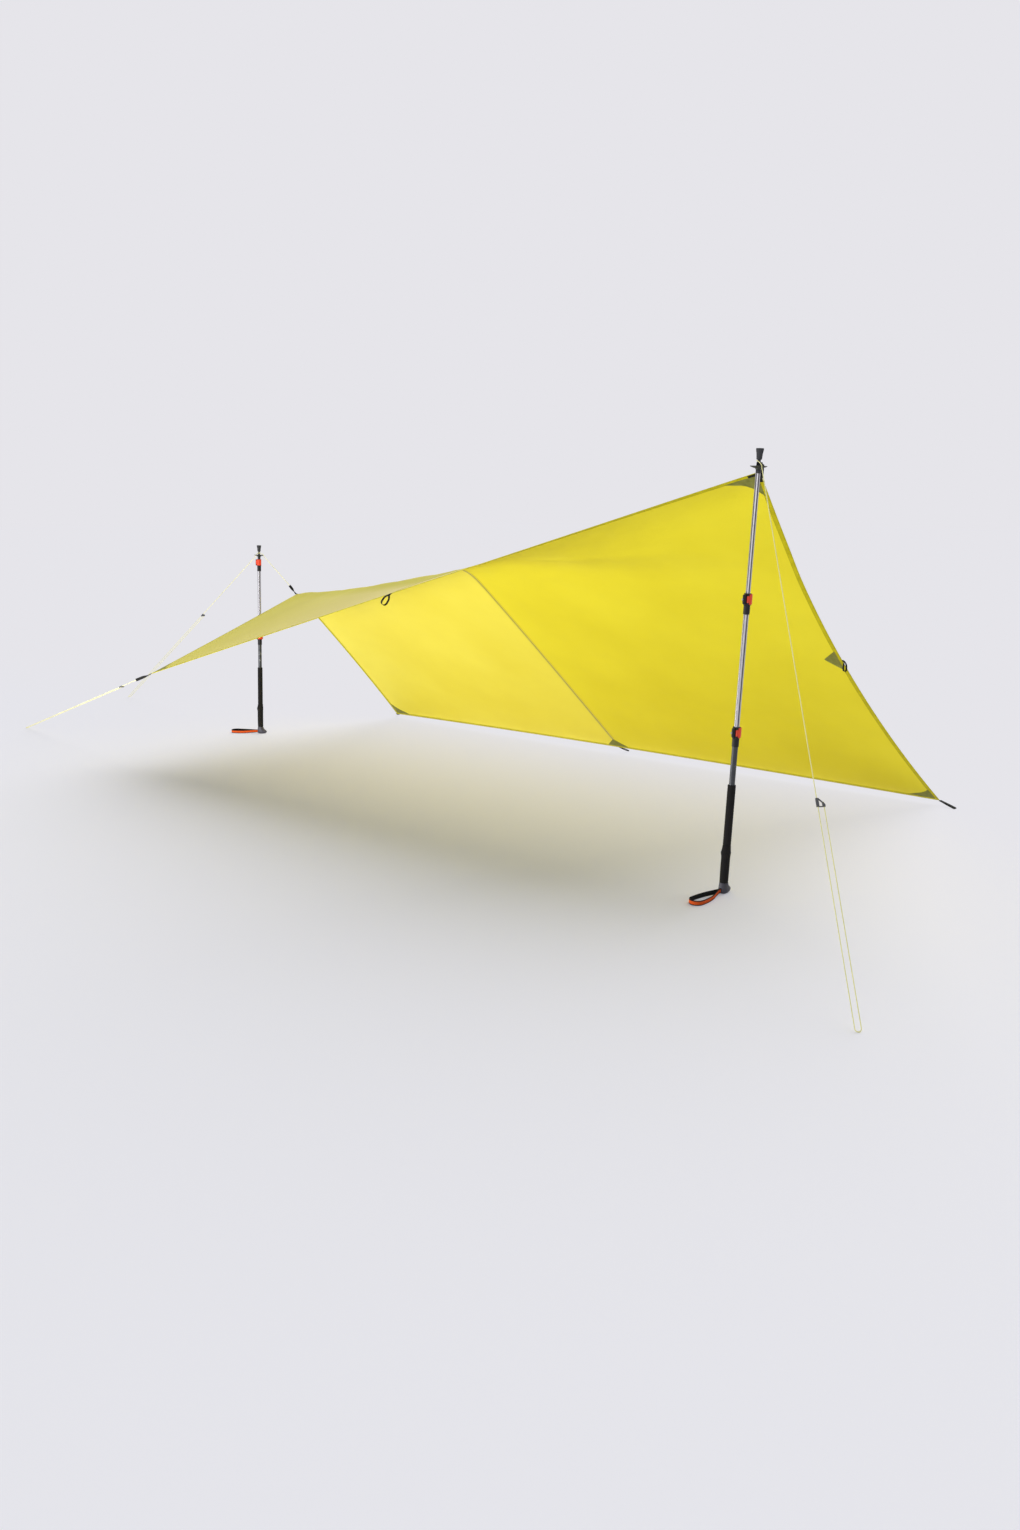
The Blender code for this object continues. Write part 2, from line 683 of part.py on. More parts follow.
# Pole pieces


def tube_profile(radius, wall, low, high):
    return [(radius, low), (radius, high), (radius - wall, high), (radius - wall, low)]


def add_clamp(pole, prefix, outer_radius, inner_radius, station, turn, materials):
    """A lever clamp: sleeve and split jaw, ears with their pin, screw block with its screw, and lever."""
    place = Matrix.Translation((0, 0, station)) @ Matrix.Rotation(turn, 4, "Z")
    jaw = outer_radius + CLAMP_JAW_WALL
    sleeve = outer_radius + CLAMP_SLEEVE_WALL
    top = CLAMP_SLEEVE + CLAMP_JAW
    bore = outer_radius + GAP
    jaw_bore = inner_radius + GAP + CLAMP_JAW_PLAY
    tube_end = CLAMP_SLEEVE + CLAMP_SEAT
    profile = [
        (bore, 0),
        (sleeve - CLAMP_BEVEL, 0),
        (sleeve, CLAMP_BEVEL),
        (sleeve, CLAMP_SLEEVE - CLAMP_SLOPE),
        (jaw, CLAMP_SLEEVE),
        (jaw, top - CLAMP_BEVEL),
        (jaw - CLAMP_BEVEL, top),
        (jaw_bore, top),
        (jaw_bore, tube_end),
        (bore, tube_end),
    ]
    clamp = add_piece(
        f"{prefix}_clamp", turned_mesh("clamp", profile, SHAFT_SIDES, hollow=True),
        materials["clamp"], pole, place,
    )
    pin_reach = jaw + PIN_STANDOFF
    pin_x = pin_reach * math.cos(PIN_ANGLE)
    pin_y = pin_reach * math.sin(PIN_ANGLE)
    slit_x = pin_x - EAR_RADIUS - SLIT
    ear_low, ear_high = CLAMP_SLEEVE + CLAMP_INSET, top - CLAMP_INSET
    block = box_mesh(
        "ear_block",
        (slit_x - EAR_SINK, pin_y, ear_low),
        (pin_x, -jaw_bore - EAR_SINK, ear_high),
    )
    combine(clamp, add_tool(f"{prefix}_ear_block", block, pole, place), "UNION")
    knuckle = turned_mesh(
        "knuckle", [(0, ear_low), (EAR_RADIUS, ear_low), (EAR_RADIUS, ear_high), (0, ear_high)], EAR_SIDES,
    )
    at_pin = place @ Matrix.Translation((pin_x, pin_y, 0))
    combine(clamp, add_tool(f"{prefix}_knuckle", knuckle, pole, at_pin), "UNION")
    screw_block = box_mesh(
        "screw_block",
        (slit_x - BLOCK_LENGTH, pin_y - EAR_RADIUS * 0.9, ear_low + BLOCK_INSET),
        (slit_x, -jaw_bore * 0.75, ear_high - BLOCK_INSET),
    )
    block_tool = add_tool(f"{prefix}_screw_block", screw_block, pole, place)
    bevel = block_tool.modifiers.new("rounded", "BEVEL")
    bevel.width = BLOCK_BEVEL
    bevel.segments = 1
    combine(clamp, block_tool, "UNION")
    slit = box_mesh(
        "slit",
        (slit_x, pin_y - 2 * EAR_RADIUS, CLAMP_SLEEVE + CLAMP_INSET / 2),
        (slit_x + SLIT, -jaw_bore * 0.55, top + CUT_PAST),
    )
    combine(clamp, add_tool(f"{prefix}_slit", slit, pole, place), "DIFFERENCE")
    hub_low = ear_low + EAR_HEIGHT
    hub_high = ear_high - EAR_HEIGHT
    pocket_radius = EAR_RADIUS + LEVER_PLAY
    pocket = turned_mesh(
        "pocket",
        [(0, hub_low), (pocket_radius, hub_low), (pocket_radius, hub_high), (0, hub_high)],
        EAR_SIDES,
    )
    combine(clamp, add_tool(f"{prefix}_pocket", pocket, pole, at_pin), "DIFFERENCE")
    pin_hole_radius = PIN_RADIUS + GAP
    pin_hole = turned_mesh(
        "pin_hole",
        [(0, ear_low - CUT_PAST), (pin_hole_radius, ear_low - CUT_PAST), (pin_hole_radius, top), (0, top)],
        PIN_SIDES,
    )
    combine(clamp, add_tool(f"{prefix}_pin_hole", pin_hole, pole, at_pin), "DIFFERENCE")
    # The screw runs across, from its nub at the left into the screw block.
    screw_z = (hub_low + hub_high) / 2
    across = (
        place
        @ Matrix.Translation((slit_x - BLOCK_LENGTH, pin_y, screw_z))
        @ Matrix.Rotation(math.pi / 2, 4, "Y")
    )
    shank = SCREW_RADIUS + GAP
    hole = turned_mesh(
        "screw_hole",
        [(0, -CUT_PAST), (shank, -CUT_PAST), (shank, BLOCK_LENGTH + SLIT / 2), (0, BLOCK_LENGTH + SLIT / 2)],
        PIN_SIDES,
    )
    combine(clamp, add_tool(f"{prefix}_screw_hole", hole, pole, across), "DIFFERENCE")
    add_piece(
        f"{prefix}_screw",
        turned_mesh("screw", [
            (0, -SCREW_HEAD_LENGTH),
            (SCREW_HEAD_RADIUS * 0.7, -SCREW_HEAD_LENGTH),
            (SCREW_HEAD_RADIUS, -SCREW_HEAD_LENGTH * 0.7),
            (SCREW_HEAD_RADIUS, -GAP),
            (SCREW_RADIUS, -GAP),
            (SCREW_RADIUS, BLOCK_LENGTH - PIN_INSET),
            (0, BLOCK_LENGTH - PIN_INSET),
        ], PIN_SIDES),
        materials["steel"], pole, across,
    )
    add_piece(
        f"{prefix}_pin",
        turned_mesh("pin", [
            (0, ear_low + PIN_INSET),
            (PIN_RADIUS, ear_low + PIN_INSET),
            (PIN_RADIUS, ear_high - PIN_INSET),
            (0, ear_high - PIN_INSET),
        ], PIN_SIDES),
        materials["steel"], pole, at_pin,
    )
    # The lever is modelled about the shaft's axis, then set with its origin on the pin.
    back = Matrix.Translation((-pin_x, -pin_y, 0))
    low = (ear_low + ear_high - LEVER_HEIGHT) / 2
    plate_in = jaw + LEVER_PLAY
    plate = arc_wall_mesh(
        "lever", plate_in, plate_in + LEVER_THICK, LEVER_START, LEVER_END,
        low, low + LEVER_HEIGHT, LEVER_STEPS, LEVER_LIP,
    )
    plate.transform(back)
    lever = add_piece(f"{prefix}_lever", plate, materials["lever"], pole, at_pin)
    web = arc_wall_mesh(
        "web", plate_in + LEVER_WEB_SINK, plate_in + LEVER_THICK - LEVER_WEB_SINK, PIN_ANGLE,
        LEVER_START + LEVER_WEB_REACH,
        hub_low + GAP, hub_high - GAP, 5,
    )
    web.transform(back)
    combine(lever, add_tool(f"{prefix}_lever_web", web, pole, at_pin), "UNION")
    hub = turned_mesh(
        "hub",
        [(0, hub_low + GAP), (EAR_RADIUS, hub_low + GAP), (EAR_RADIUS, hub_high - GAP), (0, hub_high - GAP)],
        EAR_SIDES,
    )
    combine(lever, add_tool(f"{prefix}_lever_hub", hub, pole, at_pin), "UNION")
    combine(lever, add_tool(f"{prefix}_lever_hole", pin_hole.copy(), pole, at_pin), "DIFFERENCE")


def add_basket(pole, prefix, station, material):
    """A dished trail basket with a lobed rim and a slot under each lobe."""
    sides = BASKET_LOBES * 4
    bore = NECK_RADIUS + GAP
    bm = bmesh.new()

    def lobed(radius, z):
        ring = []
        for k in range(sides):
            angle = 2 * math.pi * k / sides
            share = max(0.0, (radius - HUB_RADIUS) / (BASKET_RADIUS - HUB_RADIUS))
            wave = 1 - 0.09 * share * (1 - math.cos(BASKET_LOBES * angle)) / 2
            ring.append(bm.verts.new((radius * wave * math.cos(angle), radius * wave * math.sin(angle), z)))
        return ring

    mid = HUB_LENGTH * 0.35
    profile = [
        (bore, 0),
        (HUB_RADIUS - 1 * MM, 0),
        (HUB_RADIUS, 1.5 * MM),
        (HUB_RADIUS + 1 * MM, mid),
        (BASKET_RADIUS * 0.75, mid + BASKET_RISE * 0.45),
        (BASKET_RADIUS, mid + BASKET_RISE),
        (BASKET_RADIUS, mid + BASKET_RISE + BASKET_THICK),
        (BASKET_RADIUS * 0.75, mid + BASKET_RISE * 0.45 + BASKET_THICK),
        (HUB_RADIUS + 0.6 * MM, mid + BASKET_THICK + 1 * MM),
        (HUB_RADIUS - 0.8 * MM, HUB_LENGTH),
        (bore, HUB_LENGTH),
    ]
    join_rings(bm, [lobed(r, z) for r, z in profile], closed=True)
    place = Matrix.Translation((0, 0, station))
    basket = add_piece(f"{prefix}_basket", finish_mesh("basket", bm), material, pole, place)
    for k in range(BASKET_LOBES):
        slot = arc_wall_mesh(
            "slot", HUB_RADIUS + 4 * MM, BASKET_RADIUS - 5.5 * MM, -0.3, 0.3,
            -1 * MM, HUB_LENGTH + 3 * MM, 2,
        )
        turn = place @ Matrix.Rotation(2 * math.pi * k / BASKET_LOBES, 4, "Z")
        combine(basket, add_tool(f"{prefix}_slot_{k}", slot, pole, turn), "DIFFERENCE")


def add_tip(pole, prefix, station, materials):
    """The moulded tip with its steel point, the basket on it and the rubber cap over it."""
    collar = 0
    hub = COLLAR_LENGTH
    cap = hub + HUB_LENGTH + NECK_LENGTH
    plug_radius = LOWER_RADIUS - SHAFT_WALL - GAP
    profile = [
        (0, -PLUG_LENGTH),
        (plug_radius, -PLUG_LENGTH),
        (plug_radius, collar + GAP),
        (COLLAR_RADIUS, collar + GAP),
        (COLLAR_RADIUS, hub - 1.5 * MM),
        (COLLAR_RADIUS - 1 * MM, hub - GAP),
        (NECK_RADIUS, hub - GAP),
        (NECK_RADIUS, cap),
        (NECK_RADIUS - 1.2 * MM, cap + SPIGOT_LENGTH),
        (2.0 * MM, cap + SPIGOT_LENGTH),
        (1.6 * MM, cap + SPIGOT_LENGTH + POINT_LENGTH),
        (0, cap + SPIGOT_LENGTH + POINT_LENGTH - 1 * MM),
    ]
    place = Matrix.Translation((0, 0, station["collar"]))
    add_piece(f"{prefix}_tip", turned_mesh("tip", profile, SHAFT_SIDES), materials["tip"], pole, place)
    add_basket(pole, prefix, station["hub"], materials["basket"])
    bore = SPIGOT_LENGTH + POINT_LENGTH + 1 * MM
    cap_profile = [
        (NECK_RADIUS + GAP, GAP),
        (CAP_LOW_RADIUS - 0.6 * MM, GAP),
        (CAP_LOW_RADIUS, 1 * MM),
        (CAP_LOW_RADIUS + 1.2 * MM, CAP_LENGTH * 0.5),
        (CAP_RADIUS, CAP_LENGTH - 4 * MM),
        (CAP_RADIUS, CAP_LENGTH - 1.5 * MM),
        (CAP_RADIUS - 1.2 * MM, CAP_LENGTH),
        (CAP_RADIUS * 0.45, CAP_LENGTH),
        (CAP_RADIUS * 0.4, CAP_LENGTH - 1.2 * MM),
        (0, CAP_LENGTH - 1.2 * MM),
        (0, bore),
        (2.4 * MM, bore),
        (NECK_RADIUS - 0.8 * MM, SPIGOT_LENGTH + GAP),
    ]
    bm = bmesh.new()
    rings = [ring_of(bm, r, z, SHAFT_SIDES) for r, z in cap_profile]
    join_rings(bm, rings[:10])
    join_rings(bm, rings[10:] + rings[:1])
    add_piece(
        f"{prefix}_tip_cap", finish_mesh("tip_cap", bm), materials["rubber"],
        pole, Matrix.Translation((0, 0, station["cap"])),
    )


def add_handle(pole, prefix, station, strap_turn, materials):
    """Grip head on the floor, foam grip and sleeve above it, and the wrist strap that comes from the head."""
    bore = UPPER_RADIUS + GAP
    turn = Matrix.Rotation(strap_turn, 4, "Z")
    upright = (pole.matrix_world @ turn).to_3x3()

    def floor_at(x, y):
        """Height on the handle's own axis at which a place meets the floor, since the pole leans."""
        return -(upright[2][0] * x + upright[2][1] * y) / upright[2][2]

    bm = bmesh.new()
    rings = [[bm.verts.new((HEAD_FOOT_CENTRE, 0, floor_at(HEAD_FOOT_CENTRE, 0)))]]
    neck = (HEAD_LENGTH - GAP, GRIP_RADIUS, GRIP_RADIUS, GRIP_RADIUS)
    for z, front, back, half in (*HEAD_RINGS, neck):
        ring = []
        for k in range(GRIP_SIDES):
            angle = 2 * math.pi * k / GRIP_SIDES
            x = math.cos(angle) * (front if math.cos(angle) > 0 else back)
            y = math.sin(angle) * half
            ring.append(bm.verts.new((x, y, z if z > 0 else floor_at(x, y))))
        rings.append(ring)
    rings.append(ring_of(bm, bore, HEAD_LENGTH - GAP, GRIP_SIDES))
    rings.append(ring_of(bm, bore, HEAD_FLOOR, GRIP_SIDES))
    rings.append(ring_of(bm, 0, HEAD_FLOOR, GRIP_SIDES))
    join_rings(bm, rings)
    head = add_piece(f"{prefix}_grip_head", finish_mesh("grip_head", bm), materials["head"], pole, turn)
    slot_end = UPPER_RADIUS + GAP + SLOT_WALL
    slot_half = STRAP_THICK + 1.5 * GAP
    slot = box_mesh(
        "strap_slot",
        (-2 * GRIP_RADIUS, -slot_half, STRAP_LIFT - GAP),
        (-slot_end, slot_half, STRAP_LIFT + STRAP_WIDTH + GAP),
    )
    combine(head, add_tool(f"{prefix}_strap_slot", slot, pole, turn), "DIFFERENCE")
    add_strap(pole, prefix, slot_end + GAP, turn, floor_at, materials["strap"])

    def grip_radius(z):
        """Palm swell, with a finger ledge at the top and a flare towards the head."""
        share = (z - station["grip"]) / GRIP_LENGTH
        ledge = math.exp(-(((share - 0.80) / 0.07) ** 2))
        return GRIP_RADIUS + 0.7 * MM * math.sin(math.pi * share) + 1.9 * MM * ledge

    bm = bmesh.new()
    low, high = station["grip"], station["sleeve"] - GAP
    steps = 10
    rings = []
    for k in range(steps + 1):
        z = low + (high - low) * k / steps
        share = k / steps
        shift = -1.2 * MM * math.exp(-(((share - 0.80) / 0.08) ** 2)) - 0.6 * MM * math.sin(math.pi * share)
        radius = grip_radius(z) if k < steps else SLEEVE_RADIUS + 0.5 * MM
        rings.append(ring_of(bm, radius, z, GRIP_SIDES, (shift, 0), 0.94))
    rings.append(ring_of(bm, bore, high, GRIP_SIDES))
    rings.append(ring_of(bm, bore, low, GRIP_SIDES))
    join_rings(bm, rings, closed=True)
    add_piece(f"{prefix}_grip", finish_mesh("grip", bm), materials["foam"], pole, turn)
    low, high = station["sleeve"], station["bare"]
    profile = [
        (bore, low),
        (SLEEVE_RADIUS - 0.8 * MM, low),
        (SLEEVE_RADIUS, low + 2 * MM),
        (SLEEVE_RADIUS, high - 3 * MM),
        (SLEEVE_RADIUS - 1.5 * MM, high),
        (bore, high),
    ]
    add_piece(
        f"{prefix}_foam_sleeve", turned_mesh("foam_sleeve", profile, GRIP_SIDES, hollow=True),
        materials["foam"], pole,
    )


def add_strap(pole, prefix, slot_end, turn, floor_at, material):
    """The wrist strap, a band on edge that leaves its slot, sinks to the floor, opens out and comes back."""
    near = slot_end
    far = slot_end + STRAP_LENGTH
    half = STRAP_LOOP_WIDTH / 2
    root = STRAP_THICK / 2 + GAP / 2
    mid = STRAP_LIFT + STRAP_WIDTH / 2
    opening = [(-near - way, root + (half - root) * share) for way, share in STRAP_OPENING]
    path = [(-near, root), (-near - STRAP_LEAD, root), *opening]
    steps = 8
    for k in range(steps + 1):
        angle = math.pi / 2 - math.pi * k / steps
        path.append((-far + half * (1 - math.cos(angle)), half * math.sin(angle)))
    path += [(x, -y) for x, y in reversed(opening)]
    path += [(-near - STRAP_LEAD, -root), (-near, -root)]
    points = []
    for x, y in path:
        sunk = min(1.0, max(0.0, -x - near - STRAP_LEAD) / STRAP_SINK)
        drop = (floor_at(x, y) + STRAP_REST - STRAP_LIFT) * sunk
        points.append(turn @ Vector((x, y, mid + drop)))
    strap = add_ribbon(f"{prefix}_wrist_strap", points, [(0, 0, 1)] * len(points), material,
                       STRAP_WIDTH, STRAP_THICK)
    strap.parent = pole


def add_pole(prefix, matrix, station, clamp_turns, strap_turn, materials):
    pole = bpy.data.objects.new(f"{prefix}_pole", None)
    bpy.context.scene.collection.objects.link(pole)
    pole.matrix_world = matrix
    upper_end = station["upper_clamp"] + CLAMP_SLEEVE
    middle_end = station["lower_clamp"] + CLAMP_SLEEVE
    lower_end = station["collar"]
    shafts = (
        ("upper", UPPER_RADIUS, HEAD_FLOOR + GAP, upper_end, materials["upper"]),
        ("middle", MIDDLE_RADIUS, middle_end - MIDDLE_LENGTH, middle_end, materials["shaft"]),
        ("lower", LOWER_RADIUS, lower_end - LOWER_LENGTH, lower_end, materials["shaft"]),
    )
    for name, radius, low, high, material in shafts:
        mesh = turned_mesh("shaft", tube_profile(radius, SHAFT_WALL, low, high), SHAFT_SIDES, hollow=True)
        add_piece(f"{prefix}_{name}_shaft", mesh, material, pole)
    add_clamp(pole, f"{prefix}_upper", UPPER_RADIUS, MIDDLE_RADIUS, station["upper_clamp"],
              clamp_turns[0], materials)
    add_clamp(pole, f"{prefix}_lower", MIDDLE_RADIUS, LOWER_RADIUS, station["lower_clamp"],
              clamp_turns[1], materials)
    add_tip(pole, prefix, station, materials)
    add_handle(pole, prefix, station, strap_turn, materials)
    return pole


# Webbing on the tarp


def add_peak_webbing(cloth, material):
    """One band, sewn under both hems, that climbs past the corner and the basket and rounds the neck."""
    peak = cloth.place(CLOTH_LENGTH, CLOTH_WIDTH, 0)
    hub = NEAR_POLE @ Vector((0, 0, NEAR["hub"]))
    axis = (NEAR_POLE.to_3x3() @ Vector((0, 0, 1))).normalized()
    inward = ((peak - hub) * Vector((1, 1, 0))).normalized()
    left = Vector((-inward.y, inward.x, 0))

    def spot(depth, aside, rise):
        """A place from the hub's foot: towards the corner, to the left of that, and up the pole."""
        return hub + inward * depth + left * aside + axis * rise

    under = -(HEM_THICK / 2 + GAP + PEAK_LEG_SLACK + WEBBING_THICK / 2)
    outer_inset, inner_inset = (HEM_WIDTH - NECK_BAND_WIDTH) / 2, (HEM_WIDTH + NECK_BAND_WIDTH) / 2
    front_leg = [
        [cloth.place(CLOTH_LENGTH - s, CLOTH_WIDTH - inset, under) for inset in (outer_inset, inner_inset)]
        for s in (PEAK_LEG, PEAK_LEG_TURN)
    ]
    right_leg = [
        [cloth.place(CLOTH_LENGTH - inset, CLOTH_WIDTH - s, under) for inset in (inner_inset, outer_inset)]
        for s in (PEAK_LEG_TURN, PEAK_LEG)
    ]
    front_sides = [a - b for a, b in front_leg]
    right_sides = [a - b for a, b in right_leg]
    ring = NECK_RADIUS + GAP + WEBBING_THICK / 2
    ring_rise = HUB_LENGTH + NECK_BAND_WIDTH / 2 + GAP
    climb = BASKET_RADIUS + PEAK_BAND_CLEAR
    aside = PEAK_BAND_ASIDE
    opening = PEAK_BAND_OPENING
    out, over, rise = PEAK_FRONT_TURN
    path = [(a + b) / 2 for a, b in front_leg] + [spot(climb + out, aside + over, rise)]
    path += [spot(climb, aside, PEAK_BAND_LOW), spot(climb, aside, PEAK_BAND_HIGH)]
    path += [spot(climb, aside, ring_rise), spot(PEAK_BAND_INWARD, aside * 0.8, ring_rise)]
    for k in range(11):
        angle = opening + (2 * math.pi - 2 * opening) * k / 10
        path.append(spot(ring * math.cos(angle), ring * math.sin(angle), ring_rise))
    path += [spot(PEAK_BAND_INWARD, -aside * 0.8, ring_rise), spot(climb, -aside, ring_rise)]
    path += [spot(climb, -aside, PEAK_BAND_HIGH), spot(climb, -aside, PEAK_BAND_RIGHT_LOW)]
    out, over, rise = PEAK_RIGHT_TURN
    path += [spot(climb + out, -aside - over, rise)] + [(a + b) / 2 for a, b in right_leg]
    sides = [*front_sides, front_sides[1].normalized() + left, left, left, left * 0.5 + axis, axis]
    sides += [axis] * 11
    sides += [axis, left * 0.5 + axis, left, left, left, *right_sides]
    return add_ribbon("near_peak_webbing", path, sides, material, NECK_BAND_WIDTH, WEBBING_THICK)


def edge_frame(cloth, x, y, dx, dy):
    """At a place on the edge: the point, the direction out of the cloth, and the direction along it."""
    step = EDGE_STEP
    point, normal = cloth.at(x / CLOTH_LENGTH, y / CLOTH_WIDTH)
    edge = cloth.place(x - dy * step, y + dx * step, 0) - cloth.place(x + dy * step, y - dx * step, 0)
    out = edge.cross(normal).normalized()
    if out.dot(point - cloth.place(x - dx * step, y - dy * step, 0)) < 0:
        out = -out
    return point, out, normal.cross(out).normalized()


def add_tail(cloth, name, place, outward, tip, material):
    """A doubled flat tail, sewn in the hem, that bends into line with the cord that pulls it."""
    root, out, along = edge_frame(cloth, *place, *outward)
    tip = Vector(tip)
    start = root + out * GAP
    turned = start + out * TAIL_STRAIGHT
    last = tip - (tip - turned).normalized() * GAP
    path = [start, turned, turned.lerp(tip, 0.3), turned.lerp(tip, 0.7), last]
    return add_ribbon(name, path, [along] * 5, material, WEBBING_WIDTH, 2 * WEBBING_THICK)


def add_webbing(cloth, material):
    add_peak_webbing(cloth, material)
    add_tail(cloth, "free_corner_webbing", (0, CLOTH_WIDTH), (-0.7, 0.7), CORNER_GUYLINE[0], material)
    add_tail(cloth, "lifted_edge_webbing", (0, CLOTH_WIDTH / 2), (-1, 0), LINK_LINE[-1], material)
    # The peg loops of the back edge run from the hem down to the floor.
    for name, place, heading in (
        ("right_corner_loop", (CLOTH_LENGTH, 0), (0.94, -0.34)),
        ("back_corner_loop", (0, 0), (-0.64, 0.77)),
        ("back_edge_loop", (CLOTH_LENGTH / 2, 0), (0, 1)),
    ):
        root = cloth.place(*place, 0)
        across = Vector((heading[1], -heading[0], 0)).normalized()
        level = Vector((*heading, 0)).normalized()
        drop = root.z - PEG_LOOP_OPENING / 2 - WEBBING_THICK - PEG_LOOP_REST
        out = (level * PEG_LOOP_LENGTH + Vector((0, 0, -drop))).normalized()
        lift = across.cross(out)
        root = root + out * PEG_LOOP_GAP
        outline = loop_outline(PEG_LOOP_LENGTH, PEG_LOOP_OPENING)
        path = [root + out * along + lift * aside for along, aside in outline]
        add_ribbon(name, path, [across] * len(path), material, WEBBING_WIDTH, WEBBING_THICK)
    # The loops at the middle of the right and front edges hang down.
    for name, place, outward in (
        ("right_edge_loop", (CLOTH_LENGTH, CLOTH_WIDTH / 2), (1, 0)),
        ("front_edge_loop", (CLOTH_LENGTH / 2, CLOTH_WIDTH), (0, 1)),
    ):
        point, out, edge = edge_frame(cloth, *place, *outward)
        hang = (Vector((0, 0, -1)) + out * 0.2).normalized()
        path, sides = hanging_loop(point + out * GAP, out, edge, hang, LOOP_LENGTH, LOOP_OPENING)
        add_ribbon(name, path, sides, material, WEBBING_WIDTH, WEBBING_THICK)


# Lines. Each route is the path that the cord takes, point by point.

NEAR_GUYLINE = [
    (1.6240, -0.7071, 1.3125),
    (1.6188, -0.7085, 1.3127),
    (1.6161, -0.7131, 1.3129),
    (1.6175, -0.7183, 1.3128),
    (1.6221, -0.7210, 1.3127),
    (1.6318, -0.7265, 1.3078),
    (1.6400, -0.7309, 1.3013),
    (1.6425, -0.7326, 1.2987),
    (1.6433, -0.7336, 1.2937),
    (1.8066, -0.8981, 0.9723),
    (1.9698, -1.0627, 0.6509),
    (2.1331, -1.2273, 0.3295),
    (2.2964, -1.3919, 0.0081),
    (2.3004, -1.3926, 0.0035),
    (2.3054, -1.3895, 0.0016),
    (2.3084, -1.3846, 0.0035),
    (2.3077, -1.3806, 0.0081),
    (2.2313, -1.3035, 0.1586),
    (2.1548, -1.2264, 0.3092),
    (2.0760, -1.1470, 0.4643),
]
FAR_GUYLINE = [
    (-1.6431, 0.0421, 0.9505),
    (-1.6397, 0.0462, 0.9503),
    (-1.6402, 0.0515, 0.9500),
    (-1.6443, 0.0549, 0.9498),
    (-1.6496, 0.0545, 0.9498),
    (-1.6608, 0.0530, 0.9463),
    (-1.6702, 0.0514, 0.9403),
    (-1.6732, 0.0512, 0.9378),
    (-1.6746, 0.0511, 0.9328),
    (-2.0652, 0.0911, 0.7010),
    (-2.4558, 0.1311, 0.4692),
    (-2.8464, 0.1710, 0.2374),
    (-3.2370, 0.2110, 0.0057),
    (-3.2416, 0.2138, 0.0028),
    (-3.2430, 0.2197, 0.0016),
    (-3.2404, 0.2251, 0.0028),
    (-3.2353, 0.2269, 0.0057),
    (-2.9129, 0.1939, 0.1970),
    (-2.5905, 0.1609, 0.3883),
    (-2.2583, 0.1269, 0.5854),
]
CORNER_GUYLINE = [
    (-1.4758, -0.8292, 0.3965),
    (-1.7908, -0.8062, 0.2983),
    (-2.1058, -0.7831, 0.2002),
    (-2.4208, -0.7600, 0.1021),
    (-2.7357, -0.7369, 0.0040),
    (-2.7410, -0.7342, 0.0023),
    (-2.7428, -0.7284, 0.0016),
    (-2.7401, -0.7229, 0.0023),
    (-2.7346, -0.7210, 0.0040),
    (-2.3684, -0.7478, 0.1181),
    (-2.0022, -0.7746, 0.2321),
    (-1.6249, -0.8023, 0.3497),
]
LINK_LINE = [
    (-1.6517, 0.0524, 0.9439),
    (-1.6533, 0.0473, 0.9441),
    (-1.6508, 0.0425, 0.9444),
    (-1.6456, 0.0410, 0.9445),
    (-1.6409, 0.0435, 0.9444),
    (-1.6311, 0.0490, 0.9429),
    (-1.6229, 0.0538, 0.9405),
    (-1.6201, 0.0550, 0.9380),
    (-1.6187, 0.0551, 0.9329),
    (-1.4631, 0.0908, 0.7853),
]


def tensioner_frame(line_low, line_high, cord_end):
    """Frame of a tensioner: Z up along its line, X towards the strand that comes back to it."""
    low, high, end = Vector(line_low), Vector(line_high), Vector(cord_end)
    along = (high - low).normalized()
    side = end - low
    side = (side - side.dot(along) * along).normalized()
    face = along.cross(side)
    matrix = Matrix((side, face, along)).transposed().to_4x4()
    reach = (end - low).dot(along) - TENSIONER_SHORT_BORE - CORD_END
    matrix.translation = low + along * reach
    return matrix


def tensioner_frames():
    return {
        "near": tensioner_frame(NEAR_GUYLINE[12], NEAR_GUYLINE[8], NEAR_GUYLINE[-1]),
        "far": tensioner_frame(FAR_GUYLINE[12], FAR_GUYLINE[8], FAR_GUYLINE[-1]),
        "corner": tensioner_frame(CORNER_GUYLINE[4], CORNER_GUYLINE[0], CORNER_GUYLINE[-1]),
    }


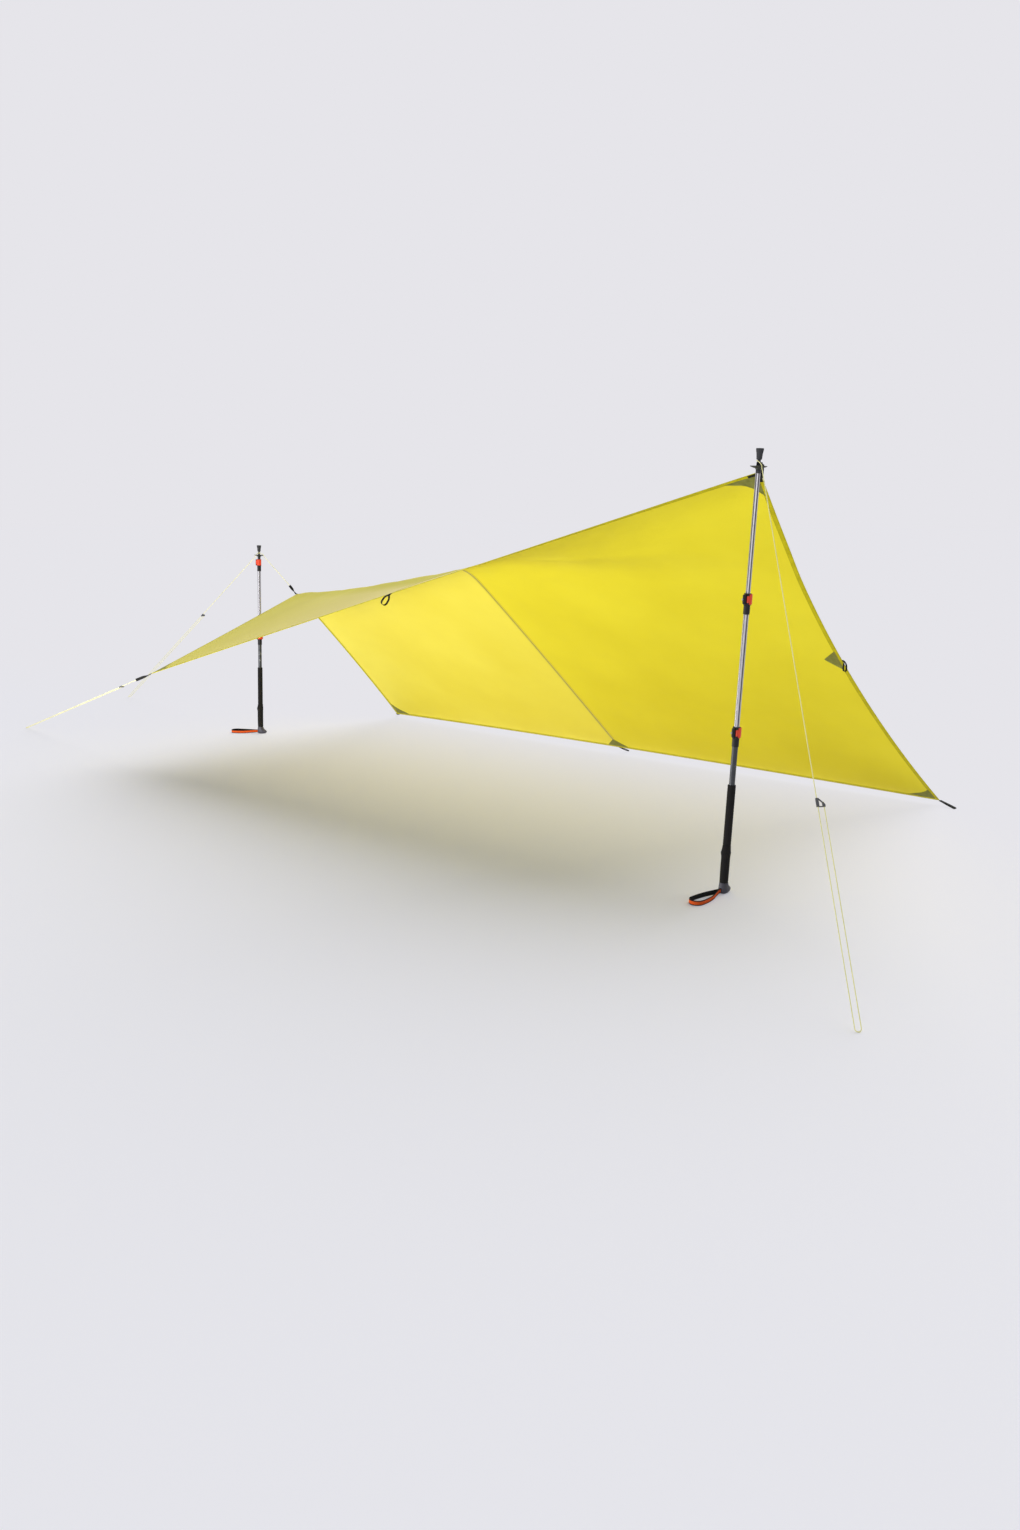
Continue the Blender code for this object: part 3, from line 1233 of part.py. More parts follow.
def add_tensioner(name, matrix, material):
    """A line tensioner: a wedge plate with a channel for the line and one for the strand that comes back."""
    wide = STRAND_SPACING + TENSIONER_RIM
    slope = (TENSIONER_LENGTH - TENSIONER_SHOULDER) / (wide - TENSIONER_RIM)
    outline = [
        (-TENSIONER_RIM, 0),
        (wide, 0),
        (wide, TENSIONER_SHOULDER),
        (TENSIONER_RIM, TENSIONER_LENGTH),
        (-TENSIONER_RIM, TENSIONER_LENGTH),
    ]
    bm = bmesh.new()
    rings = [
        [bm.verts.new((x, y, z)) for x, z in outline]
        for y in (-TENSIONER_THICK / 2, TENSIONER_THICK / 2)
    ]
    join_rings(bm, rings)
    for ring in rings:
        bm.faces.new(ring)
    piece = add_piece(name, finish_mesh(name, bm), material, None, matrix)
    bevel = piece.modifiers.new("rounded", "BEVEL")
    bevel.width = TENSIONER_BEVEL
    bevel.segments = 1
    for k, x in enumerate((0, STRAND_SPACING)):
        high = TENSIONER_LENGTH + CUT_PAST
        channel = turned_mesh(
            "channel", [(0, -CUT_PAST), (TENSIONER_BORE, -CUT_PAST), (TENSIONER_BORE, high), (0, high)],
            PIN_SIDES,
        )
        place = matrix @ Matrix.Translation((x, 0, 0))
        combine(piece, add_tool(f"{name}_channel_{k}", channel, None, place), "DIFFERENCE")
    # A three-cornered window, whose upper side runs parallel to the wedge's slope.
    rim = TENSIONER_BORE + TENSIONER_WEB
    left, right, low = rim, STRAND_SPACING - rim, TENSIONER_WEB
    high_left = TENSIONER_LENGTH - slope * (left - TENSIONER_RIM) - TENSIONER_WEB * 1.6
    high_right = TENSIONER_LENGTH - slope * (right - TENSIONER_RIM) - TENSIONER_WEB * 1.6
    outline = ((left, low), (right, low), (right, high_right), (left, high_left))
    bm = bmesh.new()
    rings = [
        [bm.verts.new((x, y, z)) for x, z in outline]
        for y in (-TENSIONER_THICK, TENSIONER_THICK)
    ]
    join_rings(bm, rings)
    for ring in rings:
        bm.faces.new(ring)
    combine(piece, add_tool(f"{name}_window", finish_mesh("window", bm), None, matrix), "DIFFERENCE")


def add_patches(cloth, material):
    for name, x, y, side in (
        ("near_peak_patch", CLOTH_LENGTH, CLOTH_WIDTH, -1),
        ("right_corner_patch", CLOTH_LENGTH, 0, -1),
        ("back_corner_patch", 0, 0, -1),
        ("free_corner_patch", 0, CLOTH_WIDTH, 1),
    ):
        add_layer(cloth, name, corner_shares(x, y), side, material)
    add_layer(cloth, "right_edge_patch", edge_shares(CLOTH_WIDTH / 2, CLOTH_LENGTH, -1, False), -1, material)
    add_layer(cloth, "back_edge_patch", edge_shares(CLOTH_LENGTH / 2, 0, 1, True), -1, material)


def add_seam_tape(cloth, material):
    """Tape under the middle seam, from the back edge's patch to the front hem."""
    inset = HEM_WIDTH + PATCH_INSET
    start, end = inset + EDGE_PATCH_DEPTH + TAPE_START, CLOTH_WIDTH - inset
    across = [start, *[v * CLOTH_WIDTH for v in cloth.v if start < v * CLOTH_WIDTH < end], end]
    middle = CLOTH_LENGTH / 2
    along = (middle - TAPE_WIDTH / 2, middle - GAP / 2, middle + GAP / 2, middle + TAPE_WIDTH / 2)
    add_layer(cloth, "seam_tape", [[(x, y) for y in across] for x in along], -1, material)


def main():
    clear_scene()
    materials = {
        "left_cloth": make_material("coated_nylon_left", (0.81, 0.70, 0.05), 0.45),
        "right_cloth": make_material("coated_nylon_right", (0.81, 0.70, 0.05), 0.45),
        "tape": make_material("seam_tape", (0.62, 0.55, 0.05), 0.4),
        "patch": make_material("patch_nylon", (0.25, 0.25, 0.06), 0.6),
        "webbing": make_material("black_webbing", (0.012, 0.011, 0.009), 0.75),
        "shaft": make_material("anodised_aluminium", (0.62, 0.61, 0.63), 0.3, 1.0),
        "upper": make_material("grey_anodised_aluminium", (0.10, 0.105, 0.115), 0.4, 0.7),
        "clamp": make_material("black_nylon_clamp", (0.012, 0.011, 0.013), 0.45),
        "lever": make_material("orange_lever", (0.87, 0.09, 0.02), 0.4),
        "steel": make_material("steel", (0.45, 0.45, 0.46), 0.3, 1.0),
        "tip": make_material("tip_plastic", (0.03, 0.028, 0.035), 0.5),
        "basket": make_material("basket_plastic", (0.045, 0.045, 0.045), 0.5),
        "rubber": make_material("tip_rubber", (0.07, 0.07, 0.072), 0.8),
        "foam": make_material("grip_foam", (0.018, 0.016, 0.015), 0.9),
        "head": make_material("head_plastic", (0.05, 0.048, 0.06), 0.5),
        "strap": make_material("strap_webbing", (0.65, 0.08, 0.02), 0.8),
        "cord": make_material("pale_cord", (0.78, 0.77, 0.55), 0.8),
        "tensioner": make_material("tensioner_plastic", (0.18, 0.18, 0.19), 0.5),
    }
    cloth = Cloth()
    seam = int(np.searchsorted(cloth.u, 0.5))
    add_panel(cloth, "left_panel", 0, seam, materials["left_cloth"])
    add_panel(cloth, "right_panel", seam, len(cloth.u), materials["right_cloth"])
    add_seam_tape(cloth, materials["tape"])
    add_patches(cloth, materials["patch"])
    add_webbing(cloth, materials["webbing"])
    add_pole("near", NEAR_POLE, NEAR, NEAR_CLAMP_TURNS, NEAR_STRAP_TURN, materials)
    add_pole("far", FAR_POLE, FAR, FAR_CLAMP_TURNS, FAR_STRAP_TURN, materials)
    add_cord("near_guyline", NEAR_GUYLINE, materials["cord"])
    add_cord("far_guyline", FAR_GUYLINE, materials["cord"])
    add_cord("corner_guyline", CORNER_GUYLINE, materials["cord"])
    add_cord("link_line", LINK_LINE, materials["cord"])
    for name, matrix in tensioner_frames().items():
        add_tensioner(f"{name}_tensioner", matrix, materials["tensioner"])


main()
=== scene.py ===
"""Looks of the camping tarp pitched on two trekking poles: cloth, webbing, lines, foam and finishes."""

import functools
import json
import math

import bmesh
import bpy
import numpy as np
from mathutils import Matrix, Vector


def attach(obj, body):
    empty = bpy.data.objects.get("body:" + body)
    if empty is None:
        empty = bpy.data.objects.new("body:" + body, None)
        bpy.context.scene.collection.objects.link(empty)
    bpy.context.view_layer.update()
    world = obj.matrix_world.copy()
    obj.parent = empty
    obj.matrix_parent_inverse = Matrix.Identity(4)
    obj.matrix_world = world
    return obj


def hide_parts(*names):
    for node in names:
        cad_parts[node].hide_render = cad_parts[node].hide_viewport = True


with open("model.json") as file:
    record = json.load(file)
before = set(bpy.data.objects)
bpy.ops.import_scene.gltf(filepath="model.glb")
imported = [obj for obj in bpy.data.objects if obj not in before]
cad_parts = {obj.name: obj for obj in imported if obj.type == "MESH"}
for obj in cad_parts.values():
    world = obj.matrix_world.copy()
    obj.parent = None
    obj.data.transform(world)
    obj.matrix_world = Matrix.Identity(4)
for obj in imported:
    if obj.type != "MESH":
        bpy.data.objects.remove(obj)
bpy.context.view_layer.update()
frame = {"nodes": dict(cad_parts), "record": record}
NODES = frame["nodes"]
BODY = {n: b for b, names in frame["record"]["behaviour"]["bodies"].items() for n in names}

MM = 0.001

# The pitched cloth, with the same sizes, held points and pulls as the solids
CLOTH_LENGTH = 3.12
CLOTH_WIDTH = 2.00
CLOTH_THICK = 0.6 * MM
CLOTH_CELL = 12 * MM  # between the lines of the drawn cloth
SEAM_X = CLOTH_LENGTH / 2
SEAM_GAP = 0.1 * MM  # from the seam to either panel's cut edge
SEAM_LINES = 161
HEM_WIDTH = 12 * MM
HEM_THICK = 2.0 * MM
HEM_SHOWN = 18 * MM
HEM_ROW = 6.6 * MM  # stitch rows from the hem's middle
HEM_STEPS = np.array([0, 0.4, 1.4, 2.4, 4.0, 6.5, 10.0, 14.0, 15.6, 17.2, 17.8, 18.4]) * MM
HEM_HALF = np.array([0.35, 0.8, 1.0, 0.85, 1.0, 1.0, 1.0, 1.0, 0.85, 0.95, 0.8, 0.3]) * MM  # half thickness there
HELD = {
    "back": (-1.4225, 0.805, 0.02),
    "right": (1.6975, 0.805, 0.02),
    "peak": (1.6135, -0.6871, 1.2839),
    "free": (-1.3433, -0.8386, 0.4368),
    "lift": (-1.4193, 0.1007, 0.7427),
}
FRONT_PULL, RIGHT_PULL, BACK_PULL, LEFT_PULL, RIDGE_PULL = 950, 130, 900, 150, 230
RIDGE_STRANDS = ((-1.5, 0.2), (-0.5, 0.3), (0.5, 0.3), (1.5, 0.2))
LENGTH_PULL = 3
LENGTH_CELLS = 40
WIDTH_CELLS = 20

# Folds of the cloth, at flat places in metres: the ridge, the long hollow behind the front hem with its creases,
# and where the net's fold is drawn partly flat towards the peak
RIDGE_RISE = 4 * MM
HOLLOW_AT, HOLLOW_REACH, HOLLOW_DEPTH = (1.62, 1.66), (0.45, 0.2), 12 * MM
CREASE_STEP, CREASE_RISE = 0.085, 0.5 * MM
FLAT_FROM, FLAT_OVER, FLAT_SHARE = (1.75, 1.4), (0.5, 0.25), 0.6

PATCH_THICK = 0.5 * MM
PATCH_INSET = HEM_WIDTH + 0.6 * MM
EDGE_PATCH_HALF, EDGE_PATCH_DEPTH = 60 * MM, 62 * MM
TAPE_THICK = 0.3 * MM
TAPE_FROM = 63 * MM  # from the back hem, clear of the patch there
LAYER_GAP = 0.55 * MM
WEBBING_WIDTH = 13 * MM
WEBBING_THICK = 1.4 * MM
BAND_WIDTH = 9 * MM
PEG_LOOP_LENGTH, PEG_LOOP_OPENING = 78 * MM, 3 * MM

# Poles: foot, lean and turn of the strap; heights of the grip and foam sleeve; radii
LEVER_HEADING = math.radians(39.87)
POLES = {
    "near": ((1.5695, -0.7210), (0.0408, 0.0053), math.radians(45)),
    "far": ((-1.640, -0.002), (-0.0067, 0.0529), math.radians(-10)),
}
GRIP_LOW, SLEEVE_LOW, SLEEVE_HIGH = 36 * MM, 158 * MM, 352 * MM
GRIP_RADIUS, SLEEVE_RADIUS = 14 * MM, 12.6 * MM
NEAR_HUB, HUB_LENGTH, NECK_RADIUS, BASKET_RADIUS = 1289 * MM, 12 * MM, 5 * MM, 25 * MM
UPPER_RADIUS = 9 * MM
SHAFT_STEP = 1 * MM  # each shaft's radius below that of the one round it
SHAFT_WALL = 0.8 * MM
FIT = 0.3 * MM  # between pieces that touch
STRAP_WIDTH, STRAP_THICK, STRAP_LENGTH = 16 * MM, 1.8 * MM, 0.36
STRAP_REACH, STRAP_HALF, STRAP_HEIGHT = 150 * MM, 23 * MM, 11 * MM
STRAP_OPENING = ((34 * MM, 0.3), (62 * MM, 0.72), (92 * MM, 0.96))

CORD_DIAMETER = 2.5 * MM
NEAR_GUYLINE = [
    (1.6240, -0.7071, 1.3125), (1.6188, -0.7085, 1.3127), (1.6161, -0.7131, 1.3129), (1.6175, -0.7183, 1.3128),
    (1.6221, -0.7210, 1.3127), (1.6318, -0.7265, 1.3078), (1.6400, -0.7309, 1.3013), (1.6425, -0.7326, 1.2987),
    (1.6433, -0.7336, 1.2937), (1.8066, -0.8981, 0.9723), (1.9698, -1.0627, 0.6509), (2.1331, -1.2273, 0.3295),
    (2.2964, -1.3919, 0.0081), (2.3004, -1.3926, 0.0035), (2.3054, -1.3895, 0.0016), (2.3084, -1.3846, 0.0035),
    (2.3077, -1.3806, 0.0081), (2.2313, -1.3035, 0.1586), (2.1548, -1.2264, 0.3092), (2.0760, -1.1470, 0.4643),
]
FAR_GUYLINE = [
    (-1.6431, 0.0421, 0.9505), (-1.6397, 0.0462, 0.9503), (-1.6402, 0.0515, 0.9500), (-1.6443, 0.0549, 0.9498),
    (-1.6496, 0.0545, 0.9498), (-1.6608, 0.0530, 0.9463), (-1.6702, 0.0514, 0.9403), (-1.6732, 0.0512, 0.9378),
    (-1.6746, 0.0511, 0.9328), (-2.0652, 0.0911, 0.7010), (-2.4558, 0.1311, 0.4692), (-2.8464, 0.1710, 0.2374),
    (-3.2370, 0.2110, 0.0057), (-3.2416, 0.2138, 0.0028), (-3.2430, 0.2197, 0.0016), (-3.2404, 0.2251, 0.0028),
    (-3.2353, 0.2269, 0.0057), (-2.9129, 0.1939, 0.1970), (-2.5905, 0.1609, 0.3883), (-2.2583, 0.1269, 0.5854),
]
CORNER_GUYLINE = [
    (-1.4758, -0.8292, 0.3965), (-1.7908, -0.8062, 0.2983), (-2.1058, -0.7831, 0.2002), (-2.4208, -0.7600, 0.1021),
    (-2.7357, -0.7369, 0.0040), (-2.7410, -0.7342, 0.0023), (-2.7428, -0.7284, 0.0016), (-2.7401, -0.7229, 0.0023),
    (-2.7346, -0.7210, 0.0040), (-2.3684, -0.7478, 0.1181), (-2.0022, -0.7746, 0.2321), (-1.6249, -0.8023, 0.3497),
]
LINK_LINE = [
    (-1.6517, 0.0524, 0.9439), (-1.6533, 0.0473, 0.9441), (-1.6508, 0.0425, 0.9444), (-1.6456, 0.0410, 0.9445),
    (-1.6409, 0.0435, 0.9444), (-1.6311, 0.0490, 0.9429), (-1.6229, 0.0538, 0.9405), (-1.6201, 0.0550, 0.9380),
    (-1.6187, 0.0551, 0.9329), (-1.4631, 0.0908, 0.7853),
]


# Studio: the lights, the paper floor's own colour, and how much of its look is a glow in the backdrop's colour,
# in front of the tarp and behind it. The glow is painted light that only the camera sees; stronger behind,
# it paints out the tarp's shadow there
SUNS = (  # name, direction, strength, spread in degrees, tint
    ("top_light", (0.10, -0.80, -1.0), 2.6, 64, (1.03, 1.005, 0.925)),
    ("front_light", (-0.25, 0.92, -0.16), 0.67, 40, (0.97, 0.99, 1.0)),
)
BOX_LIGHT, BOX_SIZE, BOX_AT, BOX_WAY = 63, (2.4, 0.2), (-0.9, -2.6, 0.14), (0.9, 2.7, 0.7)
WORLD_LIGHT, WORLD_COLOUR = 0.27, (0.84, 0.93, 1.05, 1)
FLOOR_SIZE = 120
FLOOR_COLOUR = (0.84, 0.835, 0.91, 1)
FLOOR_GLOW, GLOW_FROM, GLOW_TO = (0.15, 0.9), -1.0, 0.75
BACKDROP = "#E6E5EA"


# Finishes


def linear(code):
    """Linear colour of an sRGB hex value."""
    parts = [int(code[k:k + 2], 16) / 255 for k in (1, 3, 5)]
    return (*[p / 12.92 if p <= 0.04045 else ((p + 0.055) / 1.055) ** 2.4 for p in parts], 1)


def feed(socket, value):
    """Sets an input to a value, or links it to the node or socket that feeds it."""
    if isinstance(value, bpy.types.Node):
        value = value.outputs[0]
    if isinstance(value, bpy.types.NodeSocket):
        socket.id_data.links.new(value, socket)
    else:
        socket.default_value = value


def add_node(tree, kind, *inputs, **more):
    """A shader node. Its inputs come in order or by their capitalised names; lower-case names are settings."""
    made = tree.nodes.new("ShaderNode" + kind)
    for name, value in more.items():
        if name.islower():
            setattr(made, name, value)
    for name, value in [*enumerate(inputs), *more.items()]:
        if isinstance(name, int) or not name.islower():
            feed(made.inputs[name], value)
    return made


def new_finish(name, roughness, lies_on="UV", **more):
    """A material, a function that adds nodes to it, and the coordinates that its pattern lies on."""
    material = bpy.data.materials.new(name)
    material.use_nodes = True
    tree = material.node_tree
    for key, value in {"Roughness": roughness, **more}.items():
        tree.nodes["Principled BSDF"].inputs[key.replace("_", " ")].default_value = value
    node = functools.partial(add_node, tree)
    return material, node, node("TexCoord").outputs[lies_on]


def dress(material, ground, layers, height, distance, strength, roughness=None):
    """Gives a material its ground colour, each layer's colour over that by the layer's share, and its relief."""
    tree = material.node_tree
    shader = tree.nodes["Principled BSDF"].inputs
    colour = linear(ground)
    for share, over in layers:
        mixed = add_node(tree, "Mix", share, data_type="RGBA")
        feed(mixed.inputs[6], colour)
        feed(mixed.inputs[7], linear(over))
        colour = mixed.outputs[2]
    feed(shader["Base Color"], colour)
    feed(shader["Normal"], add_node(tree, "Bump", Height=height, Distance=distance, Strength=strength))
    if roughness is not None:
        feed(shader["Roughness"], roughness)
    return material


def coated_nylon(name, colour, shade, gloss=0.3, painted_reflection=None):
    """Silicone-coated ripstop nylon: thin, satin, with a faint square thread grid and soft crinkles."""
    material, node, place = new_finish(name, 0.6, Specular_IOR_Level=gloss)
    u, v = node("SeparateXYZ", place).outputs[:2]
    # Ripstop threads 6 mm apart
    warp, weft = [node("Math", way, 3 * MM, operation="PINGPONG") for way in (u, v)]
    nearest = node("Math", warp, weft, operation="MINIMUM")
    threads = node("MapRange", nearest, 0.0, 0.5 * MM, 1.0, 0.0)
    tone = node("MapRange", node("TexNoise", place, Scale=2.2, Detail=3.0), 0.3, 0.7)
    tone = node("Math", threads, -0.15, tone, operation="MULTIPLY_ADD")
    layers = [(tone, colour)]
    if painted_reflection:
        # Painted reflection: the front strip, beyond a crease from the left edge to the front hem, is painted
        # paler towards its right, in place of a pale reflection at a grazing angle
        beyond = node("Math", u, -0.46, v, operation="MULTIPLY_ADD")
        beyond = node("MapRange", beyond, 1.02, 1.12)
        reflection_share = node("MapRange", u, 0.0, 1.4, 0.1, 0.85)
        layers.append((node("Math", reflection_share, beyond, operation="MULTIPLY"), painted_reflection))
    crinkle = node("TexNoise", place, Scale=9.0, Detail=4.0, Roughness=0.45)
    height = node("Math", node("TexNoise", place, Scale=60.0), 0.08, crinkle, operation="MULTIPLY_ADD")
    height = node("Math", threads, 0.005, height, operation="MULTIPLY_ADD")
    return dress(material, shade, layers, height, 6 * MM, 0.5)


def hemmed_nylon(name, colour, shade, thread):
    """The same nylon folded and sewn: darker where it lies double, with two rows of lockstitch."""
    material, node, place = new_finish(name, 0.6, Specular_IOR_Level=0.2)
    along, row = node("SeparateXYZ", place).outputs[:2]
    # Stitches 2.7 mm long and 3.8 mm apart, in rows near either side of the hem
    dash = node("Math", along, 1.9 * MM, operation="PINGPONG")
    dash = node("MapRange", dash, 1.2 * MM, 1.5 * MM, 1.0, 0.0)
    for away in (HEM_SHOWN / 2, HEM_ROW):
        row = node("Math", node("Math", row, -away, operation="ADD"), operation="ABSOLUTE")
    row = node("MapRange", row, 0.35 * MM, 0.6 * MM, 1.0, 0.0)
    stitch = node("Math", dash, row, operation="MULTIPLY")
    tone = node("MapRange", node("TexNoise", place, Scale=30.0, Detail=3.0), 0.3, 0.7)
    sunk = node("Math", row, -1.0, operation="MULTIPLY")
    height = node("Math", node("TexNoise", place, Scale=120.0), 0.6, sunk, operation="MULTIPLY_ADD")
    return dress(material, shade, [(tone, colour), (stitch, thread)], height, 0.5 * MM, 0.7)


def seam_film(name, film, felled):
    """Clear heat-welded seam tape over the felled seam, which shows through it as a darker stripe."""
    material, node, place = new_finish(name, 0.35, IOR=1.45)
    away = node("Math", node("SeparateXYZ", place), operation="ABSOLUTE")
    fold = node("MapRange", away, 3.4 * MM, 4.2 * MM, 1.0, 0.0)
    height = node("Math", node("TexNoise", place, Scale=90.0), 0.4, fold, operation="MULTIPLY_ADD")
    return dress(material, film, [(fold, felled)], height, 0.4 * MM, 0.6)


def patch_nylon(name, colour, shade):
    """Heavier woven nylon sewn on as a patch: matt olive, mottled by the cloth that it lies on."""
    material, node, place = new_finish(name, 0.7, Specular_IOR_Level=0.3)
    # Threads drawn 1.6 mm apart, coarser than the real weave, so that they show
    flat = node("SeparateXYZ", place).outputs[:2]
    warp, weft = [node("Math", way, 0.8 * MM, operation="PINGPONG") for way in flat]
    weave = node("MapRange", node("Math", warp, weft, operation="ADD"), 0.0, 1.6 * MM)
    mottled = node("TexNoise", place, Scale=45.0, Detail=4.0, Roughness=0.6)
    mottled = node("MapRange", mottled, 0.3, 0.7, 0.0, 0.8)
    tone = node("Math", weave, 0.2, mottled, operation="MULTIPLY_ADD")
    return dress(material, shade, [(tone, colour)], weave, 0.25 * MM, 0.6)


def woven_webbing(name, colour, shade, border, border_at, rib=1.3 * MM, roughness=0.85):
    """Nylon webbing: matt, with fine ribs and a chevron of the warp threads, and a woven border on either side."""
    material, node, place = new_finish(name, roughness, Specular_IOR_Level=0.25)
    across, along = node("SeparateXYZ", place).outputs[:2]
    slant = node("Math", across, 2.2 * MM, operation="PINGPONG")
    ribs = node("Math", node("Math", along, slant, operation="ADD"), rib / 2, operation="PINGPONG")
    ribs = node("MapRange", ribs, 0.0, rib / 2)
    fuzz = node("Math", node("TexNoise", place, Scale=900.0), 0.5, operation="MULTIPLY")
    tone = node("Math", ribs, 0.6, fuzz, operation="MULTIPLY_ADD")
    away = node("Math", across, operation="ABSOLUTE")
    side = node("MapRange", away, border_at, border_at + 0.4 * MM)
    return dress(material, shade, [(tone, colour), (side, border)], ribs, 0.35 * MM, 0.8)


def braided_cord(name, colour, shade):
    """Braided polyester guyline: pale yellow-white strands crossing in a diamond pattern."""
    material, node, place = new_finish(name, 0.8, Specular_IOR_Level=0.3)
    around, along = node("SeparateXYZ", place).outputs[:2]
    # Strands drawn 1.5 mm apart each way
    half = 0.75 * MM
    right, left = [
        node("Math", node("Math", along, around, operation=way), half, operation="PINGPONG")
        for way in ("ADD", "SUBTRACT")
    ]
    diamonds = node("MapRange", node("Math", right, left, operation="MULTIPLY"), 0.0, half**2)
    return dress(material, shade, [(diamonds, colour)], diamonds, 0.2 * MM, 0.7)


def drawn_aluminium(name, bright, middle, dark_reflection):
    """Drawn and clear-anodised aluminium tube: silver, with fine bright streaks along its length, and dark lines
    along it that are painted reflections of dark surroundings.
    """
    material, node, place = new_finish(name, 0.3, Metallic=0.85)
    # Painted dark reflections: lines 10 mm apart round the tube, wavering slightly along it
    stretched = node("Mapping", place, Scale=(1.0, 0.03, 1.0))
    fine = node("TexNoise", stretched, Scale=700.0, Detail=3.0)
    slow, around = node("TexNoise", stretched, Scale=60.0), node("SeparateXYZ", place)
    line = node("Math", slow, 3 * MM, around, operation="MULTIPLY_ADD")
    line = node("Math", line, 5 * MM, operation="PINGPONG")
    line = node("MapRange", line, 1.1 * MM, 2.6 * MM, 1.0, 0.0)
    worn = node("MapRange", fine, 0.3, 0.7, 0.24, 0.4)
    return dress(material, middle, [(fine, bright), (line, dark_reflection)], fine, 0.03 * MM, 0.4, worn)


def speckled_aluminium(name, ground, print_colour):
    """Dark anodised upper tube with a screen-printed scatter of pale specks."""
    material, node, place = new_finish(name, 0.42, "Object", Metallic=0.4)
    # Specks 4 mm apart, larger where the print is heavier
    density = node("TexNoise", place, Scale=35.0)
    size = node("MapRange", density, 0.45, 0.65, 0.0, 0.42)
    speck = node("Math", node("TexVoronoi", place, Scale=260.0), size, operation="LESS_THAN")
    cloud = node("Math", density, 0.15, operation="MULTIPLY")
    tone = node("Math", speck, 0.8, cloud, operation="MULTIPLY_ADD")
    return dress(material, ground, [(tone, print_colour)], speck, 0.05 * MM, 0.5)


def moulded_plastic(name, colour, shade, roughness, gloss=0.5, grain=1100.0, depth=0.06 * MM):
    """Injection-moulded plastic or rubber: a fine eroded grain and slightly uneven colour."""
    material, node, place = new_finish(name, roughness, "Object", Specular_IOR_Level=gloss)
    pits = node("TexNoise", place, Scale=grain)
    clouds = node("TexNoise", place, Scale=60.0, Detail=3.0)
    patches = node("Math", clouds, 0.6, operation="MULTIPLY")
    tone = node("Math", pits, 0.4, patches, operation="MULTIPLY_ADD")
    worn = node("MapRange", clouds, 0.3, 0.7, roughness - 0.06, roughness + 0.08)
    return dress(material, shade, [(tone, colour)], pits, depth, 0.6, worn)


def turned_steel(name, colour, shade):
    """Turned stainless steel: bright, with fine tool rings."""
    material, node, place = new_finish(name, 0.28, "Object", Metallic=1.0)
    rings = node("TexNoise", place, Scale=1500.0, Detail=1.0)
    return dress(material, shade, [(rings, colour)], rings, 0.02 * MM, 0.4)


def cellular_foam(name, colour, shade):
    """Closed-cell EVA foam: matt near-black skin with small open pores."""
    material, node, place = new_finish(name, 0.92, "Object", Specular_IOR_Level=0.25)
    pores = node("TexVoronoi", place, Scale=700.0)
    clouds = node("Math", node("TexNoise", place, Scale=40.0, Detail=3.0), 0.5, operation="MULTIPLY")
    tone = node("Math", pores, 0.6, clouds, operation="MULTIPLY_ADD")
    return dress(material, shade, [(tone, colour)], pores, 0.35 * MM, 0.7)


PLAIN = 1.0  # a border this far out never shows
# The outer nylon's last colour is a painted pale reflection, laid on the front strip beyond the crease
OUTER_NYLON = ("#D2C846", "#C9BE3E", 0.2, "#E4D488")
FINISH = {
    "left_outer": coated_nylon("coated_nylon_left_outer", *OUTER_NYLON),
    # The left under side is painted lighter than the right, standing in for more light falling on the left of the
    # tarp
    "left_under": coated_nylon("coated_nylon_left_under", "#F5E754", "#EEDE46"),
    "right_outer": coated_nylon("coated_nylon_right_outer", *OUTER_NYLON),
    "right_under": coated_nylon("coated_nylon_right_under", "#EEDF2E", "#E6D626"),
    "hem": hemmed_nylon("hemmed_nylon", "#C8BC12", "#B6AA08", "#A89E14"),
    "tape": seam_film("welded_seam_tape", "#DDCD30", "#A0930C"),
    "patch": patch_nylon("woven_patch_nylon", "#8C8C44", "#6C6C26"),
    "webbing": woven_webbing("black_nylon_webbing", "#1E1E1B", "#0A0A09", "#0A0A09", PLAIN),
    "strap_outer": woven_webbing("orange_strap_webbing", "#F0641C", "#C04010", "#141212", 4.8 * MM, 1.6 * MM),
    "strap_inner": woven_webbing("black_strap_lining", "#201E1D", "#0C0B0B", "#0C0B0B", PLAIN, 2.0 * MM, 0.95),
    "cord": braided_cord("braided_guyline", "#FBF7BE", "#F0E9A0"),
    # The shafts' last colour is that of the painted dark reflections along them
    "shaft": drawn_aluminium("drawn_anodised_aluminium", "#D2CFD2", "#A5A2A6", "#3C3A3E"),
    "upper": speckled_aluminium("speckled_anodised_aluminium", "#26282B", "#A9ABB0"),
    "clamp": moulded_plastic("black_moulded_nylon", "#181619", "#0B0A0C", 0.5, 0.3),
    "lever": moulded_plastic("orange_moulded_abs", "#F8502A", "#DC3A16", 0.4, 0.4, 800.0, 0.03 * MM),
    "steel": turned_steel("turned_stainless_steel", "#C4C4C8", "#A2A2A6"),
    "tip": moulded_plastic("moulded_tip_nylon", "#302E36", "#1D1B21", 0.45, 0.4),
    "basket": moulded_plastic("moulded_basket_polypropylene", "#333529", "#1E1F18", 0.5, 0.4),
    "rubber": moulded_plastic("moulded_cap_rubber", "#454548", "#2E2E31", 0.75, 0.3, 500.0, 0.12 * MM),
    "foam": cellular_foam("closed_cell_eva_foam", "#201E1D", "#0E0D0C"),
    "head": moulded_plastic("moulded_grip_head_abs", "#4C4A55", "#302F37", 0.5, 0.4, 900.0, 0.1 * MM),
    "tensioner": moulded_plastic("moulded_acetal", "#5E5E61", "#454548", 0.45, 0.4),
}

